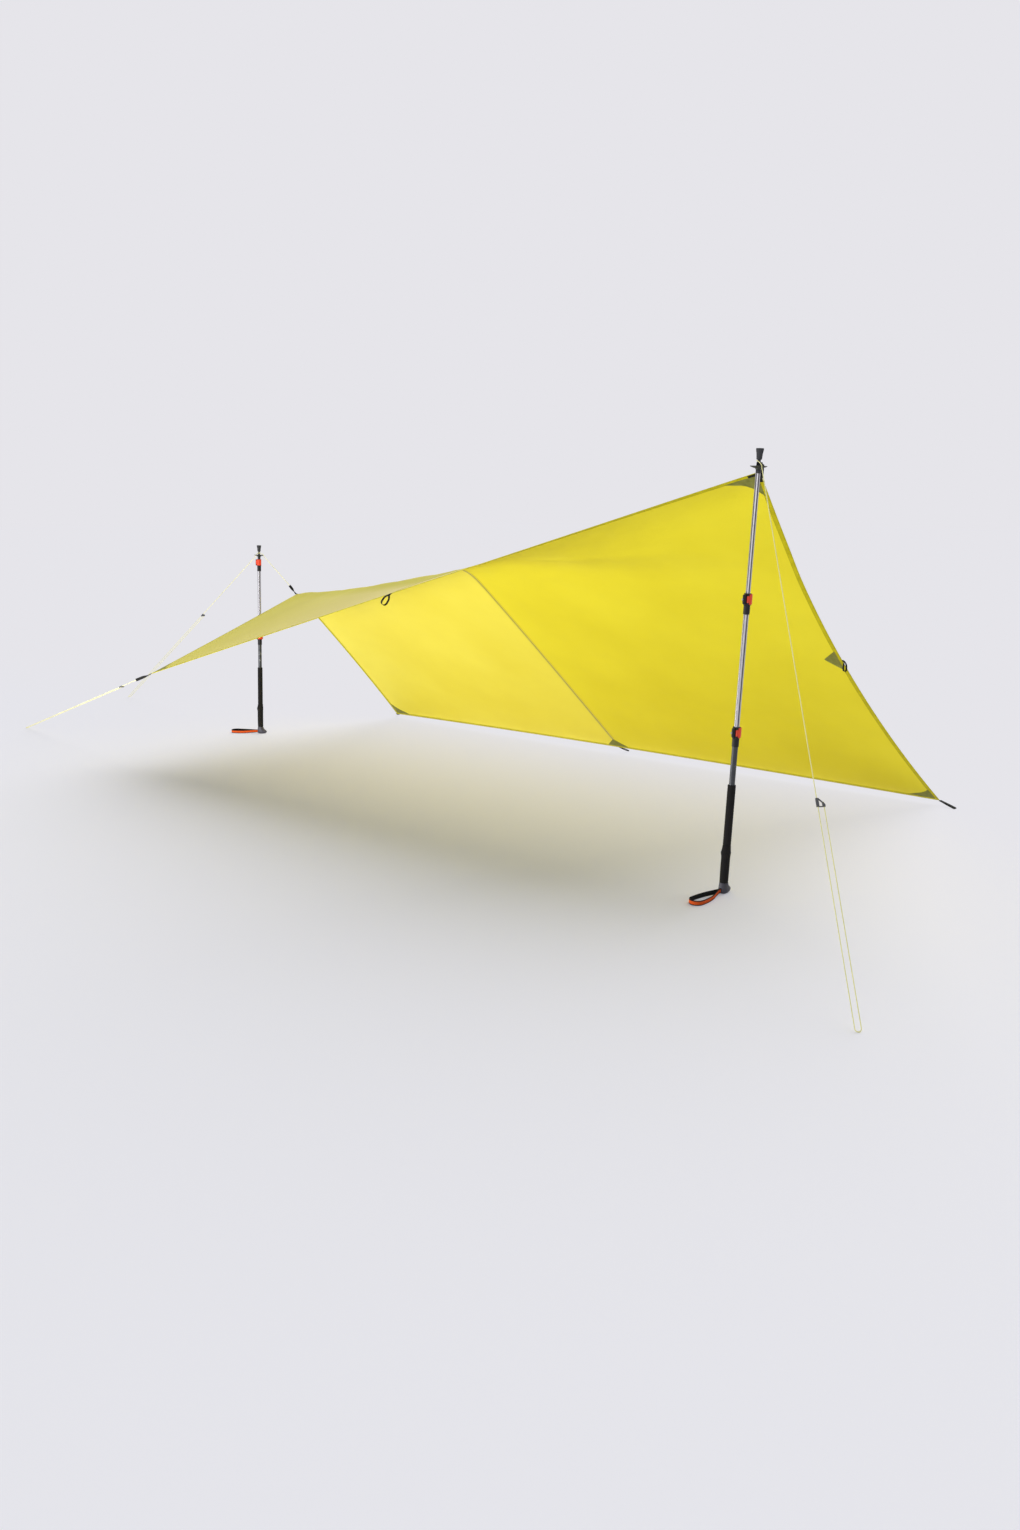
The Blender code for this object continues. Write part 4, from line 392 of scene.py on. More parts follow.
POLE_FINISH = {
    "upper_clamp": "clamp", "lower_clamp": "clamp", "upper_lever": "lever", "lower_lever": "lever",
    "upper_screw": "steel", "lower_screw": "steel", "upper_pin": "steel", "lower_pin": "steel",
    "tip": "tip", "basket": "basket", "tip_cap": "rubber", "grip_head": "head",
}
CARRIED = {f"{side}_{piece}": finish for side in POLES for piece, finish in POLE_FINISH.items()}
CARRIED |= {f"{line}_tensioner": "tensioner" for line in ("near", "far", "corner")}
for name, finish in CARRIED.items():  # the CAD nodes that keep their solids and lose their plain finish
    for slot in NODES[name].material_slots:
        slot.material = FINISH[finish]


# Studio


def new_object(name, data):
    obj = bpy.data.objects.new(name, data)
    bpy.context.scene.collection.objects.link(obj)
    return obj


def look_from(place, tilt, heading, lens):
    camera = new_object("camera", bpy.data.cameras.new("camera"))
    camera.location = place
    camera.rotation_euler = (math.radians(tilt), 0, math.radians(heading))
    camera.data.lens = lens
    camera.data.sensor_width = 36
    camera.data.clip_end = 200
    bpy.context.scene.camera = camera


def add_light(name, kind, strength, direction):
    lamp = bpy.data.lights.new(name, kind)
    lamp.energy = strength
    light = new_object(name, lamp)
    light.rotation_euler = Vector(direction).to_track_quat("-Z", "Y").to_euler()
    return light, lamp


def add_low_light(floor):
    """A wide soft box low in front on the left. It lights the cloth from below, and is kept off the floor."""
    box, lamp = add_light("low_soft_box", "AREA", BOX_LIGHT, BOX_WAY)
    lamp.shape = "RECTANGLE"
    lamp.size, lamp.size_y = BOX_SIZE
    box.location = BOX_AT
    box.visible_camera = False
    left_dark = bpy.data.collections.new("floor_left_dark")
    left_dark.objects.link(floor)
    left_dark.collection_objects[0].light_linking.link_state = "EXCLUDE"
    box.light_linking.receiver_collection = left_dark


def shows(tree):
    """1 for a ray that the camera sees by, straight, mirrored or through something, and 0 for a ray of light."""
    rays = add_node(tree, "LightPath").outputs
    seen = add_node(tree, "Math", rays["Is Camera Ray"], rays["Is Glossy Ray"], operation="MAXIMUM")
    return add_node(tree, "Math", seen, rays["Is Transmission Ray"], operation="MAXIMUM")


def add_floor():
    bpy.ops.mesh.primitive_plane_add(size=FLOOR_SIZE)
    floor = bpy.context.object
    floor.name = "studio_floor"
    paper, node, place = new_finish("studio_paper", 1.0, "Object", Specular_IOR_Level=0.0, Base_Color=FLOOR_COLOUR)
    # Painted light: the camera sees the floor partly as a glow in the backdrop's colour, more of it towards the
    # back, which paints out the shadow under the tarp
    share = node("MapRange", node("SeparateXYZ", place).outputs[1], GLOW_FROM, GLOW_TO, *FLOOR_GLOW)
    share = node("Math", shows(paper.node_tree), share, operation="MULTIPLY")
    nodes = paper.node_tree.nodes
    mixed = node("MixShader", share, nodes["Principled BSDF"], node("Emission", linear(BACKDROP)))
    feed(nodes["Material Output"].inputs["Surface"], mixed)
    floor.data.materials.append(paper)
    return floor


def add_studio():
    look_from((3.2664, -3.7958, 1.187), 77.332, 39.87, 27.136)
    for name, direction, strength, spread, tint in SUNS:
        lamp = add_light(name, "SUN", strength, direction)[1]
        lamp.color = tint
        lamp.angle = math.radians(spread)
    add_low_light(add_floor())
    world = bpy.context.scene.world or bpy.data.worlds.new("studio")
    bpy.context.scene.world = world
    world.use_nodes = True
    tree = world.node_tree
    tree.nodes.clear()
    light = add_node(tree, "Background", WORLD_COLOUR, WORLD_LIGHT)
    backdrop = add_node(tree, "Background", linear(BACKDROP), 1.0)
    add_node(tree, "OutputWorld", add_node(tree, "MixShader", shows(tree), light, backdrop))
    bpy.context.scene.view_settings.view_transform = "Standard"


bpy.ops.object.select_all(action="DESELECT")
add_studio()


# Pieces


def put_in_place(name, mesh, finishes, node=None):
    """Adds a piece, which rides with the CAD node that it stands for, or else with the tarp."""
    obj = new_object(name, mesh)
    for finish in finishes:
        mesh.materials.append(FINISH[finish])
    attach(obj, BODY[node] if node else "tarp")
    if node:
        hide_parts(node)
    return obj


def mesh_from(name, points, faces, uvs, slots, smooth_angle=40):
    """A closed mesh with a UV pair for each face corner and a material slot for each face."""
    mesh = bpy.data.meshes.new(name)
    mesh.from_pydata([tuple(p) for p in points], [], faces)
    layer = mesh.uv_layers.new(name="surface")
    layer.data.foreach_set("uv", np.asarray(uvs, np.float32).ravel())
    mesh.polygons.foreach_set("material_index", np.asarray(slots, np.int32))
    bm = bmesh.new()
    bm.from_mesh(mesh)
    bmesh.ops.recalc_face_normals(bm, faces=bm.faces)
    bm.to_mesh(mesh)
    bm.free()
    mesh.shade_smooth()
    mesh.set_sharp_from_angle(angle=math.radians(smooth_angle))
    return mesh


def skin(name, rings, around, heights, slots=None, closed=False, smooth_angle=40):
    """A mesh through rings of points. Around has the two U values of a ring's faces, heights each ring's V."""
    count, faces, uvs = len(around), [], []
    for k in range(len(rings) if closed else len(rings) - 1):
        above = (k + 1) % len(rings)
        low, high = heights[k], heights[above]
        for m, (u, v) in enumerate(around):
            n = (m + 1) % count
            faces.append((k * count + m, k * count + n, above * count + n, above * count + m))
            uvs += [(u, low), (v, low), (v, high), (u, high)]
    numbers = (slots or [0] * count) * (len(faces) // count)
    if not closed:
        last = (len(rings) - 1) * count
        faces += [tuple(range(count)), tuple(range(last, last + count))]
        uvs += [(0, 0)] * count + [(0, heights[-1])] * count
        numbers += [0, 0]
    return mesh_from(name, [p for ring in rings for p in ring], faces, uvs, numbers, smooth_angle)


def hermite(start, end, leave, arrive, t):
    """Between two values with a given slope at either, at a share of the way."""
    return (
        start * (2 * t**3 - 3 * t**2 + 1) + end * (3 * t**2 - 2 * t**3)
        + leave * (t**3 - 2 * t**2 + t) + arrive * (t**3 - t**2)
    )


def smooth_path(route, sides=None, per_span=4, long_span=60 * MM):
    """Points of a smooth curve through the route, and side directions carried along it."""
    points = [Vector(p) for p in route]
    ends = [points[0] * 2 - points[1], *points, points[-1] * 2 - points[-2]]
    found, carried = [], []
    for n, (a, b, c, d) in enumerate(zip(ends, ends[1:], ends[2:], ends[3:])):
        before, span, after = [math.sqrt((q - p).length) for p, q in ((a, b), (b, c), (c, d))]
        leave = (c - b) + span * ((b - a) / before - (c - a) / (before + span))
        arrive = (c - b) + span * ((d - c) / after - (d - b) / (span + after))
        count = 1 if (c - b).length > long_span else per_span
        for k in range(count):
            found.append(hermite(b, c, leave, arrive, k / count))
            if sides:
                carried.append(Vector(sides[n]).lerp(Vector(sides[n + 1]), k / count))
    found.append(points[-1])
    return (found, [*carried, Vector(sides[-1])]) if sides else found


def travel(points):
    """Each point of a path, with its direction there and its length up to there."""
    length = 0.0
    for k, point in enumerate(points):
        before, after = points[max(k - 1, 0)], points[min(k + 1, len(points) - 1)]
        length += (point - before).length
        yield point, (after - before).normalized(), length


# Cords


def cord_mesh(name, points, radius, sides=10):
    """A round closed tube along the points, with UV in metres round it and along it."""
    side = (points[1] - points[0]).normalized().orthogonal().normalized()
    rings, lengths = [], []
    for point, tangent, length in travel(points):
        side = (side - side.dot(tangent) * tangent).normalized()
        across = tangent.cross(side)
        lengths.append(length)
        angles = [2 * math.pi * m / sides for m in range(sides)]
        rings.append([point + (side * math.cos(a) + across * math.sin(a)) * radius for a in angles])
    step = 2 * math.pi * radius / sides
    return skin(name, rings, [(m * step, (m + 1) * step) for m in range(sides)], lengths)


def add_cord(name, node, route):
    points = smooth_path(route, per_span=6)
    piece = put_in_place(name, cord_mesh(name, points, CORD_DIAMETER / 2), ["cord"], node)


for line, route in (("near", NEAR_GUYLINE), ("far", FAR_GUYLINE), ("corner", CORNER_GUYLINE)):
    add_cord(f"{line}_line", f"{line}_guyline", route)
add_cord("lift_line", "link_line", LINK_LINE)


# The canopy


def ridge_weights(index, aside):
    """Weights of the net's points at each step of a ridge strand, which crosses the lattice aslant."""
    rows, columns = index.shape
    ridge = np.zeros((rows, index.size))
    for i in range(rows):
        share = i / (rows - 1)
        across = (columns - 1) / 2 * (1 + share) + aside * math.sin(math.pi * share)
        j = min(int(across), columns - 2)
        ridge[i, index[i, j]] = 1 - (across - j)
        ridge[i, index[i, j + 1]] = across - j
    return ridge


def tension_net():
    """Still shape of the stretched cloth, where the pulls of its thread lines and hems balance."""
    rows, columns = LENGTH_CELLS + 1, WIDTH_CELLS + 1
    index = np.arange(rows * columns).reshape(rows, columns)
    along = np.full((rows - 1, columns), float(LENGTH_PULL))
    along[:, 0] = BACK_PULL
    along[:, -1] = FRONT_PULL
    across = np.ones((rows, columns - 1))
    across[0, :] = LEFT_PULL
    across[-1, :] = RIGHT_PULL
    first = np.concatenate([index[:-1, :].ravel(), index[:, :-1].ravel()])
    second = np.concatenate([index[1:, :].ravel(), index[:, 1:].ravel()])
    pull = np.concatenate([along.ravel(), across.ravel()])
    matrix = np.zeros((rows * columns, rows * columns))
    for a, b in ((first, second), (second, first)):
        np.add.at(matrix, (a, a), pull)
        np.add.at(matrix, (a, b), -pull)
    for aside, share in RIDGE_STRANDS:
        strand = ridge_weights(index, aside)
        for low, high in zip(strand, strand[1:]):
            matrix += RIDGE_PULL * share * np.outer(high - low, high - low)
    held = {
        index[0, 0]: HELD["back"], index[-1, 0]: HELD["right"], index[-1, -1]: HELD["peak"],
        index[0, -1]: HELD["free"], index[0, WIDTH_CELLS // 2]: HELD["lift"],
    }
    fixed = np.array(list(held))
    places = np.array(list(held.values()))
    free = np.setdiff1d(np.arange(rows * columns), fixed)
    net = np.zeros((rows * columns, 3))
    net[fixed] = places
    net[free] = np.linalg.solve(matrix[np.ix_(free, free)], -matrix[np.ix_(free, fixed)] @ places)
    return net.reshape(rows, columns, 3)


def folds(x, y):
    """How far the cloth stands up from its smooth form, at flat places x, y metres from the back corner."""
    # The ridge: a fold that the pull from the lifted edge to the near peak draws up
    along = x / CLOTH_LENGTH
    away = (y - CLOTH_WIDTH / 2 * (1 + along)) * math.cos(math.atan(CLOTH_WIDTH / 2 / CLOTH_LENGTH))
    reach = 14 * MM + 22 * MM * np.clip(along / 0.2, 0, 1)
    fade = np.clip(along / 0.05, 0, 1) * np.clip((0.6 - along) / 0.2, 0, 1)
    ridge = RIDGE_RISE * fade * np.exp(-((away / reach) ** 2))
    # The long hollow between the ridge and the front hem, and the faint creases that the hem draws in it
    hollow = np.exp(-(((x - HOLLOW_AT[0]) / HOLLOW_REACH[0]) ** 2) - ((y - HOLLOW_AT[1]) / HOLLOW_REACH[1]) ** 2)
    to_hem = np.clip((CLOTH_WIDTH - y) / 0.25, 0, 1)
    creases = np.sin(math.tau * (CLOTH_WIDTH - y) / CREASE_STEP + 1.4 * x) * hollow
    return ridge - HOLLOW_DEPTH * hollow * to_hem + CREASE_RISE * creases * to_hem


def cloth_net():
    """The solved net, a row longer at either end, and its slopes on from and up to each point across the cloth,
    which differ where the lifted edge creases it."""
    net = tension_net()
    net = np.concatenate([2 * net[:1] - net[1:2], net, 2 * net[-1:] - net[-2:-1]])
    padded = np.concatenate([2 * net[:, :1] - net[:, 1:2], net, 2 * net[:, -1:] - net[:, -2:-1]], axis=1)
    middle = (padded[:, 2:] - padded[:, :-2]) / 2
    leave, arrive = middle.copy(), middle.copy()
    lift = WIDTH_CELLS // 2
    for row, share in ((0, 1.0), (1, 1.0), (2, 0.5), (3, 0.2)):
        for slopes, low in ((arrive, lift - 1), (leave, lift)):
            slope = net[row, low + 1] - net[row, low]
            slopes[row, lift] = slope * share + middle[row, lift] * (1 - share)
    return net, leave, arrive


NET, LEAVE, ARRIVE = cloth_net()


def net_surface(x, y):
    """The smooth surface through the net, at flat places x, y metres from the back corner."""
    gx = np.clip(x / CLOTH_LENGTH, 0, 1) * LENGTH_CELLS
    gy = np.clip(y / CLOTH_WIDTH, 0, 1) * WIDTH_CELLS
    i = np.clip(gx.astype(int), 0, LENGTH_CELLS - 1)
    j = np.clip(gy.astype(int), 0, WIDTH_CELLS - 1)
    a, b = (gx - i)[..., None], (gy - j)[..., None]
    rows = [hermite(NET[k, j], NET[k, j + 1], LEAVE[k, j], ARRIVE[k, j + 1], b) for k in (i, i + 1, i + 2, i + 3)]
    return hermite(rows[1], rows[2], (rows[2] - rows[0]) / 2, (rows[3] - rows[1]) / 2, a)


def smooth_cloth(x, y):
    """The net's surface, with its fold drawn partly flat where it nears the peak."""
    start = FLAT_FROM[1]
    point = net_surface(x, y)
    low, high = [net_surface(x, np.full_like(y, end)) for end in (start, CLOTH_WIDTH)]
    share = np.clip((y - start) / (CLOTH_WIDTH - start), 0, 1)
    chord = low + (high - low) * share[..., None]
    ramps = np.clip(np.stack([(x - FLAT_FROM[0]) / FLAT_OVER[0], (y - start) / FLAT_OVER[1]]), 0, 1)
    drawn = FLAT_SHARE * np.prod(ramps**2 * (3 - 2 * ramps), axis=0)
    return point + (chord - point) * drawn[..., None]


def cloth_at(x, y, step=4 * MM):
    """(points, outward normals) of the cloth with its folds, at flat places x, y metres from the back corner."""
    x, y = np.clip(x, 0, CLOTH_LENGTH), np.clip(y, 0, CLOTH_WIDTH)
    du = smooth_cloth(np.minimum(x + step, CLOTH_LENGTH), y) - smooth_cloth(np.maximum(x - step, 0), y)
    dv = smooth_cloth(x, np.minimum(y + step, CLOTH_WIDTH)) - smooth_cloth(x, np.maximum(y - step, 0))
    normals = np.cross(dv, du)
    normals /= np.linalg.norm(normals, axis=-1, keepdims=True)
    return smooth_cloth(x, y) + normals * folds(x, y)[..., None], normals


def cloth_point(x, y, lift=0.0):
    point, normal = cloth_at(np.array(x), np.array(y))
    return Vector(point + normal * lift)


def shell(name, top, bottom, uv, hem=None, edge_uv=None):
    """A closed thin solid between two grids of points, in slot 0. With a hem, a mask of the grid's cells, the
    hem and rim are in slot 2 with a UV of their own, and the rest of the under side in slot 1."""
    rows, columns = top.shape[:2]
    index = np.arange(rows * columns).reshape(rows, columns)
    quads = np.stack([index[:-1, :-1], index[:-1, 1:], index[1:, 1:], index[1:, :-1]], axis=-1).reshape(-1, 4)
    rim = [(i, 0) for i in range(rows)] + [(rows - 1, j) for j in range(1, columns)]
    rim += [(i, columns - 1) for i in range(rows - 2, -1, -1)] + [(0, j) for j in range(columns - 2, 0, -1)]
    loop = np.array([index[p] for p in rim])
    following = np.roll(loop, -1)
    walls = np.stack([loop, following, following + rows * columns, loop + rows * columns], axis=-1)
    faces = np.concatenate([quads, quads[:, ::-1] + rows * columns, walls])
    corners = np.concatenate([uv.reshape(-1, 2)] * 2)[faces.ravel()]
    numbers = np.zeros(len(faces), int)
    if hem is not None:
        hem = hem.ravel()
        numbers = np.concatenate([np.where(hem, 2, 0), np.where(hem, 2, 1), np.full(len(walls), 2)])
        edge = np.concatenate([edge_uv.reshape(-1, 2)] * 2)[faces.ravel()]
        corners = np.where(np.repeat(numbers == 2, 4)[:, None], edge, corners)
    points = np.concatenate([top.reshape(-1, 3), bottom.reshape(-1, 3)])
    return mesh_from(name, points.tolist(), faces.tolist(), corners, numbers)


def lines_between(low, high, hem_low=True, hem_high=True):
    """Grid lines with close ones across a hem at either end."""
    start = low + HEM_STEPS[-1] if hem_low else low
    end = high - HEM_STEPS[-1] if hem_high else high
    lines = list(np.linspace(start, end, round((end - start) / CLOTH_CELL) + 1))
    if hem_low:
        lines = [low + s for s in HEM_STEPS[:-1]] + lines
    if hem_high:
        lines += [high - s for s in reversed(HEM_STEPS[:-1])]
    return np.array(lines)


def add_panel(side, low, high):
    """One cloth panel with its folded hems, from its flat length."""
    xs = lines_between(low, high, low == 0, high == CLOTH_LENGTH)
    x, y = np.meshgrid(xs, lines_between(0, CLOTH_WIDTH), indexing="ij")
    points, normals = cloth_at(x, y)
    to_side = np.minimum(x, CLOTH_LENGTH - x)
    to_end = np.minimum(y, CLOTH_WIDTH - y)
    inset = np.minimum(to_side, to_end)
    out = normals * np.interp(inset, HEM_STEPS, HEM_HALF)[..., None]
    along = np.where(to_side < to_end, y, x)
    middle = (inset[:-1, :-1] + inset[1:, 1:] + inset[1:, :-1] + inset[:-1, 1:]) / 4
    flat, edge = np.stack([x, y], axis=-1), np.stack([along, inset], axis=-1)
    mesh = shell(f"{side}_cloth", points + out, points - out, flat, middle < HEM_SHOWN, edge)
    finishes = [f"{side}_outer", f"{side}_under", "hem"]
    return put_in_place(f"{side}_cloth", mesh, finishes, f"{side}_panel")


def add_layer(name, node, x, y, side, finish, thick, slot, uv=None):
    """A layer sewn flat on the cloth. Side 1 is outside, -1 is under."""
    points, normals = cloth_at(x, y)
    low = side * (CLOTH_THICK / 2)
    high = side * (CLOTH_THICK / 2 + LAYER_GAP + thick)
    uv = np.stack([x, y], axis=-1) if uv is None else uv
    mesh = shell(name, points + normals * high, points + normals * low, uv)
    return put_in_place(name, mesh, [finish], node)


def corner_patch(x_corner, y_corner, leg_x, leg_y, scoop, steps=26):
    """Flat places of a corner patch: straight legs along the hems and a scooped, slightly uneven edge."""
    ways = np.linspace(0, math.pi / 2, steps + 1), np.linspace(0.04, 1, steps + 1)
    angle, outward = np.meshgrid(*ways, indexing="ij")
    c, s = np.cos(angle), np.sin(angle)
    reach = leg_x * leg_y / (leg_y * c + leg_x * s) * (1 - scoop * np.sin(2 * angle))
    reach = reach * (1 + 0.012 * np.sin(angle * 9.0) + 0.008 * np.sin(angle * 23.0 + 1.0))
    x = x_corner + (1 if x_corner == 0 else -1) * (PATCH_INSET + reach * outward * c)
    y = y_corner + (1 if y_corner == 0 else -1) * (PATCH_INSET + reach * outward * s)
    return x, y


def edge_patch(along, edge, sign, on_length, steps=24):
    """Flat places of a three-cornered patch whose long side lies along a hem."""
    depth, share = np.meshgrid(np.linspace(0, 1, steps + 1), np.linspace(-1, 1, steps + 1), indexing="ij")
    a = along + EDGE_PATCH_HALF * (1 - 0.96 * depth) * share
    b = edge + sign * (PATCH_INSET + EDGE_PATCH_DEPTH * depth)
    return (a, b) if on_length else (b, a)


LEFT = add_panel("left", 0, SEAM_X - SEAM_GAP)
RIGHT = add_panel("right", SEAM_X + SEAM_GAP, CLOTH_LENGTH)
TRIM = {"left": [], "right": []}
for name, node, places, side, panel in (
    ("peak_patch", "near_peak", corner_patch(CLOTH_LENGTH, CLOTH_WIDTH, 112 * MM, 96 * MM, 0.1), -1, "right"),
    ("right_floor_patch", "right_corner", corner_patch(CLOTH_LENGTH, 0, 110 * MM, 70 * MM, 0.12), -1, "right"),
    ("back_floor_patch", "back_corner", corner_patch(0, 0, 100 * MM, 84 * MM, 0.12), -1, "left"),
    ("free_patch", "free_corner", corner_patch(0, CLOTH_WIDTH, 100 * MM, 100 * MM, 0.24), 1, "left"),
    ("right_middle_patch", "right_edge", edge_patch(CLOTH_WIDTH / 2, CLOTH_LENGTH, -1, False), -1, "right"),
    ("back_middle_patch", "back_edge", edge_patch(SEAM_X, 0, 1, True), -1, "right"),
):
    TRIM[panel].append(add_layer(name, f"{node}_patch", *places, side, "patch", PATCH_THICK, "patch_nylon"))


def add_seam():
    """Welded tape under the seam, and the felled seam itself outside."""
    aside = np.array([-10, -4.2, -3.4, 0, 3.4, 4.2, 10]) * MM
    ys = np.linspace(HEM_WIDTH + TAPE_FROM, CLOTH_WIDTH - PATCH_INSET, SEAM_LINES)
    a, y = np.meshgrid(aside, ys, indexing="ij")
    flat = np.stack([a, y], axis=-1)
    tape = add_layer("seam_strip", "seam_tape", SEAM_X + a, y, -1, "tape", TAPE_THICK, "seam_tape", flat)
    aside = np.array([-3.6, -3.0, 3.0, 3.6]) * MM
    a, y = np.meshgrid(aside, np.linspace(HEM_WIDTH, CLOTH_WIDTH - HEM_WIDTH, SEAM_LINES), indexing="ij")
    points, normals = cloth_at(SEAM_X + a, y)
    high = np.where(np.abs(a) < 3.2 * MM, 1.1 * MM, 0.35 * MM)[..., None]
    flat = np.stack([y, a + 6.2 * MM], axis=-1)
    mesh = shell("felled_seam", points + normals * high, points + normals * 0.2 * MM, flat)
    TRIM["right"] += [tape, put_in_place("felled_seam", mesh, ["hem"])]


add_seam()


# Webbing


def ribbon_mesh(name, path, sides, width, thick, in_slot=0, per_span=4):
    """A flat strap with rounded edges, swept along a smooth path. UV is in metres across and along."""
    points, sides = smooth_path(path, sides, per_span)
    section = ((-1, -0.5), (-0.93, -1), (0.93, -1), (1, -0.5), (1, 0.5), (0.93, 1), (-0.93, 1), (-1, 0.5))
    rings, lengths = [], []
    for (point, tangent, length), side in zip(travel(points), sides):
        side = (side - side.dot(tangent) * tangent).normalized()
        face = tangent.cross(side)
        lengths.append(length)
        rings.append([point + side * a * width / 2 + face * b * thick / 2 for a, b in section])
    across = [a * width / 2 for a, b in section]
    around = list(zip(across, across[1:] + across[:1]))
    return skin(name, rings, around, lengths, [in_slot] * 3 + [0] * 5)


def add_webbing(name, node, path, sides, width, thick=WEBBING_THICK):
    mesh = ribbon_mesh(name, path, sides, width, thick)
    return put_in_place(name, mesh, ["webbing"], node)


def edge_frame(x, y, dx, dy, step=20 * MM):
    """At a place on the edge: the point, the direction out of the cloth, and the direction along it."""
    point, normal = [Vector(found) for found in cloth_at(np.array(x), np.array(y))]
    edge = cloth_point(x - dy * step, y + dx * step) - cloth_point(x + dy * step, y - dx * step)
    out = edge.cross(normal).normalized()
    if out.dot(point - cloth_point(x - dx * step, y - dy * step)) < 0:
        out = -out
    return point, out, normal.cross(out).normalized()


def add_tail(name, node, place, outward, tip):
    """A doubled strap from the edge of the cloth to the end of a line, which twists to stand upright."""
    root, out, along = edge_frame(*place, *outward)
    tip = Vector(tip)
    turned = root + out * 5.3 * MM
    path = [root - out * 6 * MM, root, turned, turned.lerp(tip, 0.3), turned.lerp(tip, 0.7)]
    path.append(tip - (tip - turned).normalized() * FIT)
    upright = along.cross(out) * (1 if along.cross(out).z > 0 else -1)
    sides = [along, along, along, along * 0.6 + upright * 0.4, upright, upright]
    return add_webbing(name, node, path, sides, WEBBING_WIDTH, 2 * WEBBING_THICK)


def loop_outline(length, opening, steps=12):
    """A loop seen on edge: two legs that leave the hem together, and the round that joins them."""
    half = opening / 2 + WEBBING_THICK / 2
    root = WEBBING_THICK / 2 + 0.15 * MM
    leg = [(0, root), (2 * MM, root), (length * 0.15, root), (length * 0.45, half * 0.9)]
    turns = [math.pi * k / steps for k in range(steps + 1)]
    bow = [(length - half + half * math.sin(angle), half * math.cos(angle)) for angle in turns]
    return leg + bow + [(along, -aside) for along, aside in reversed(leg)]


def hanging_loop(root, out, edge, hang, level, length, opening, bend=10 * MM, straight=2 * MM):
    """Path of a loop that leaves the hem flat, bends down and turns until its width lies along level."""
    turn = math.acos(max(-1.0, min(1.0, out.dot(hang))))
    down = (hang - hang.dot(out) * out).normalized()
    level = (level - level.dot(hang) * hang).normalized()
    if level.dot(edge) < 0:
        level = -level
    radius = bend / turn
    path, sides = [], []
    for along, across in loop_outline(length, opening):
        bent = min(max(along - straight, 0.0), bend)
        angle = bent / radius
        tangent = out * math.cos(angle) + down * math.sin(angle)
        side = edge.lerp(level, bent / bend).normalized()
        centre = root + out * min(along, straight)
        centre += (out * math.sin(angle) + down * (1 - math.cos(angle))) * radius
        centre += tangent * max(0.0, along - straight - bend)
        path.append(centre + tangent.cross(side).normalized() * across)
        sides.append(side)
    return path, sides


PEG_LOOPS = (  # name, CAD node, place on the flat cloth, heading on the floor
    ("right_peg_loop", "right_corner_loop", (CLOTH_LENGTH, 0), (0.94, -0.34)),
    ("back_peg_loop", "back_corner_loop", (0, 0), (-0.64, 0.77)),
    ("middle_peg_loop", "back_edge_loop", (SEAM_X, 0), (0, 1)),
)
HANGING_LOOPS = (  # name, CAD node, place and way out on the flat cloth; way of its width, way down; its length
    # and opening, and the webbing's width
    ("right_hanging_loop", "right_edge_loop", (CLOTH_LENGTH, CLOTH_WIDTH / 2, 1, 0),
     (-0.78, 0.62, 0), (0, 0.1, -1), (42 * MM, 10 * MM), 11 * MM),
    ("front_hanging_loop", "front_edge_loop", (SEAM_X, CLOTH_WIDTH, 0, 1),
     (-0.99, 0.15, 0), (-0.45, -0.5, -1), (52 * MM, 22 * MM), 12 * MM),
)


def add_loops():
    """The peg loops, which reach down to the floor, and the open loops that hang from the other edges."""
    made = []
    for name, node, place, heading in PEG_LOOPS:
        root = cloth_point(*place)
        across = Vector((heading[1], -heading[0], 0)).normalized()
        drop = root.z - PEG_LOOP_OPENING / 2 - WEBBING_THICK - 0.5 * MM
        level = Vector((*heading, 0)).normalized()
        out = (level * PEG_LOOP_LENGTH + Vector((0, 0, -drop))).normalized()
        lift = across.cross(out)
        root = root + out * 1.0 * MM
        outline = loop_outline(PEG_LOOP_LENGTH, PEG_LOOP_OPENING)
        path = [root + out * along + lift * aside for along, aside in outline]
        made.append(add_webbing(name, node, path, [across] * len(path), WEBBING_WIDTH))
    for name, node, place, level, hang, sizes, width in HANGING_LOOPS:
        point, out, edge = edge_frame(*place)
        path, sides = hanging_loop(point + out * FIT, out, edge, Vector(hang).normalized(), Vector(level), *sizes)
        made.append(add_webbing(name, node, path, sides, width))
    return made


def pole_matrix(foot, lean):
    axis = Vector((*lean, 1)).normalized()
    side = Vector((math.cos(LEVER_HEADING), math.sin(LEVER_HEADING), 0))
    side = (side - side.dot(axis) * axis).normalized()
    matrix = Matrix((side, axis.cross(side), axis)).transposed().to_4x4()
    matrix.translation = Vector((*foot, 0))
    return matrix


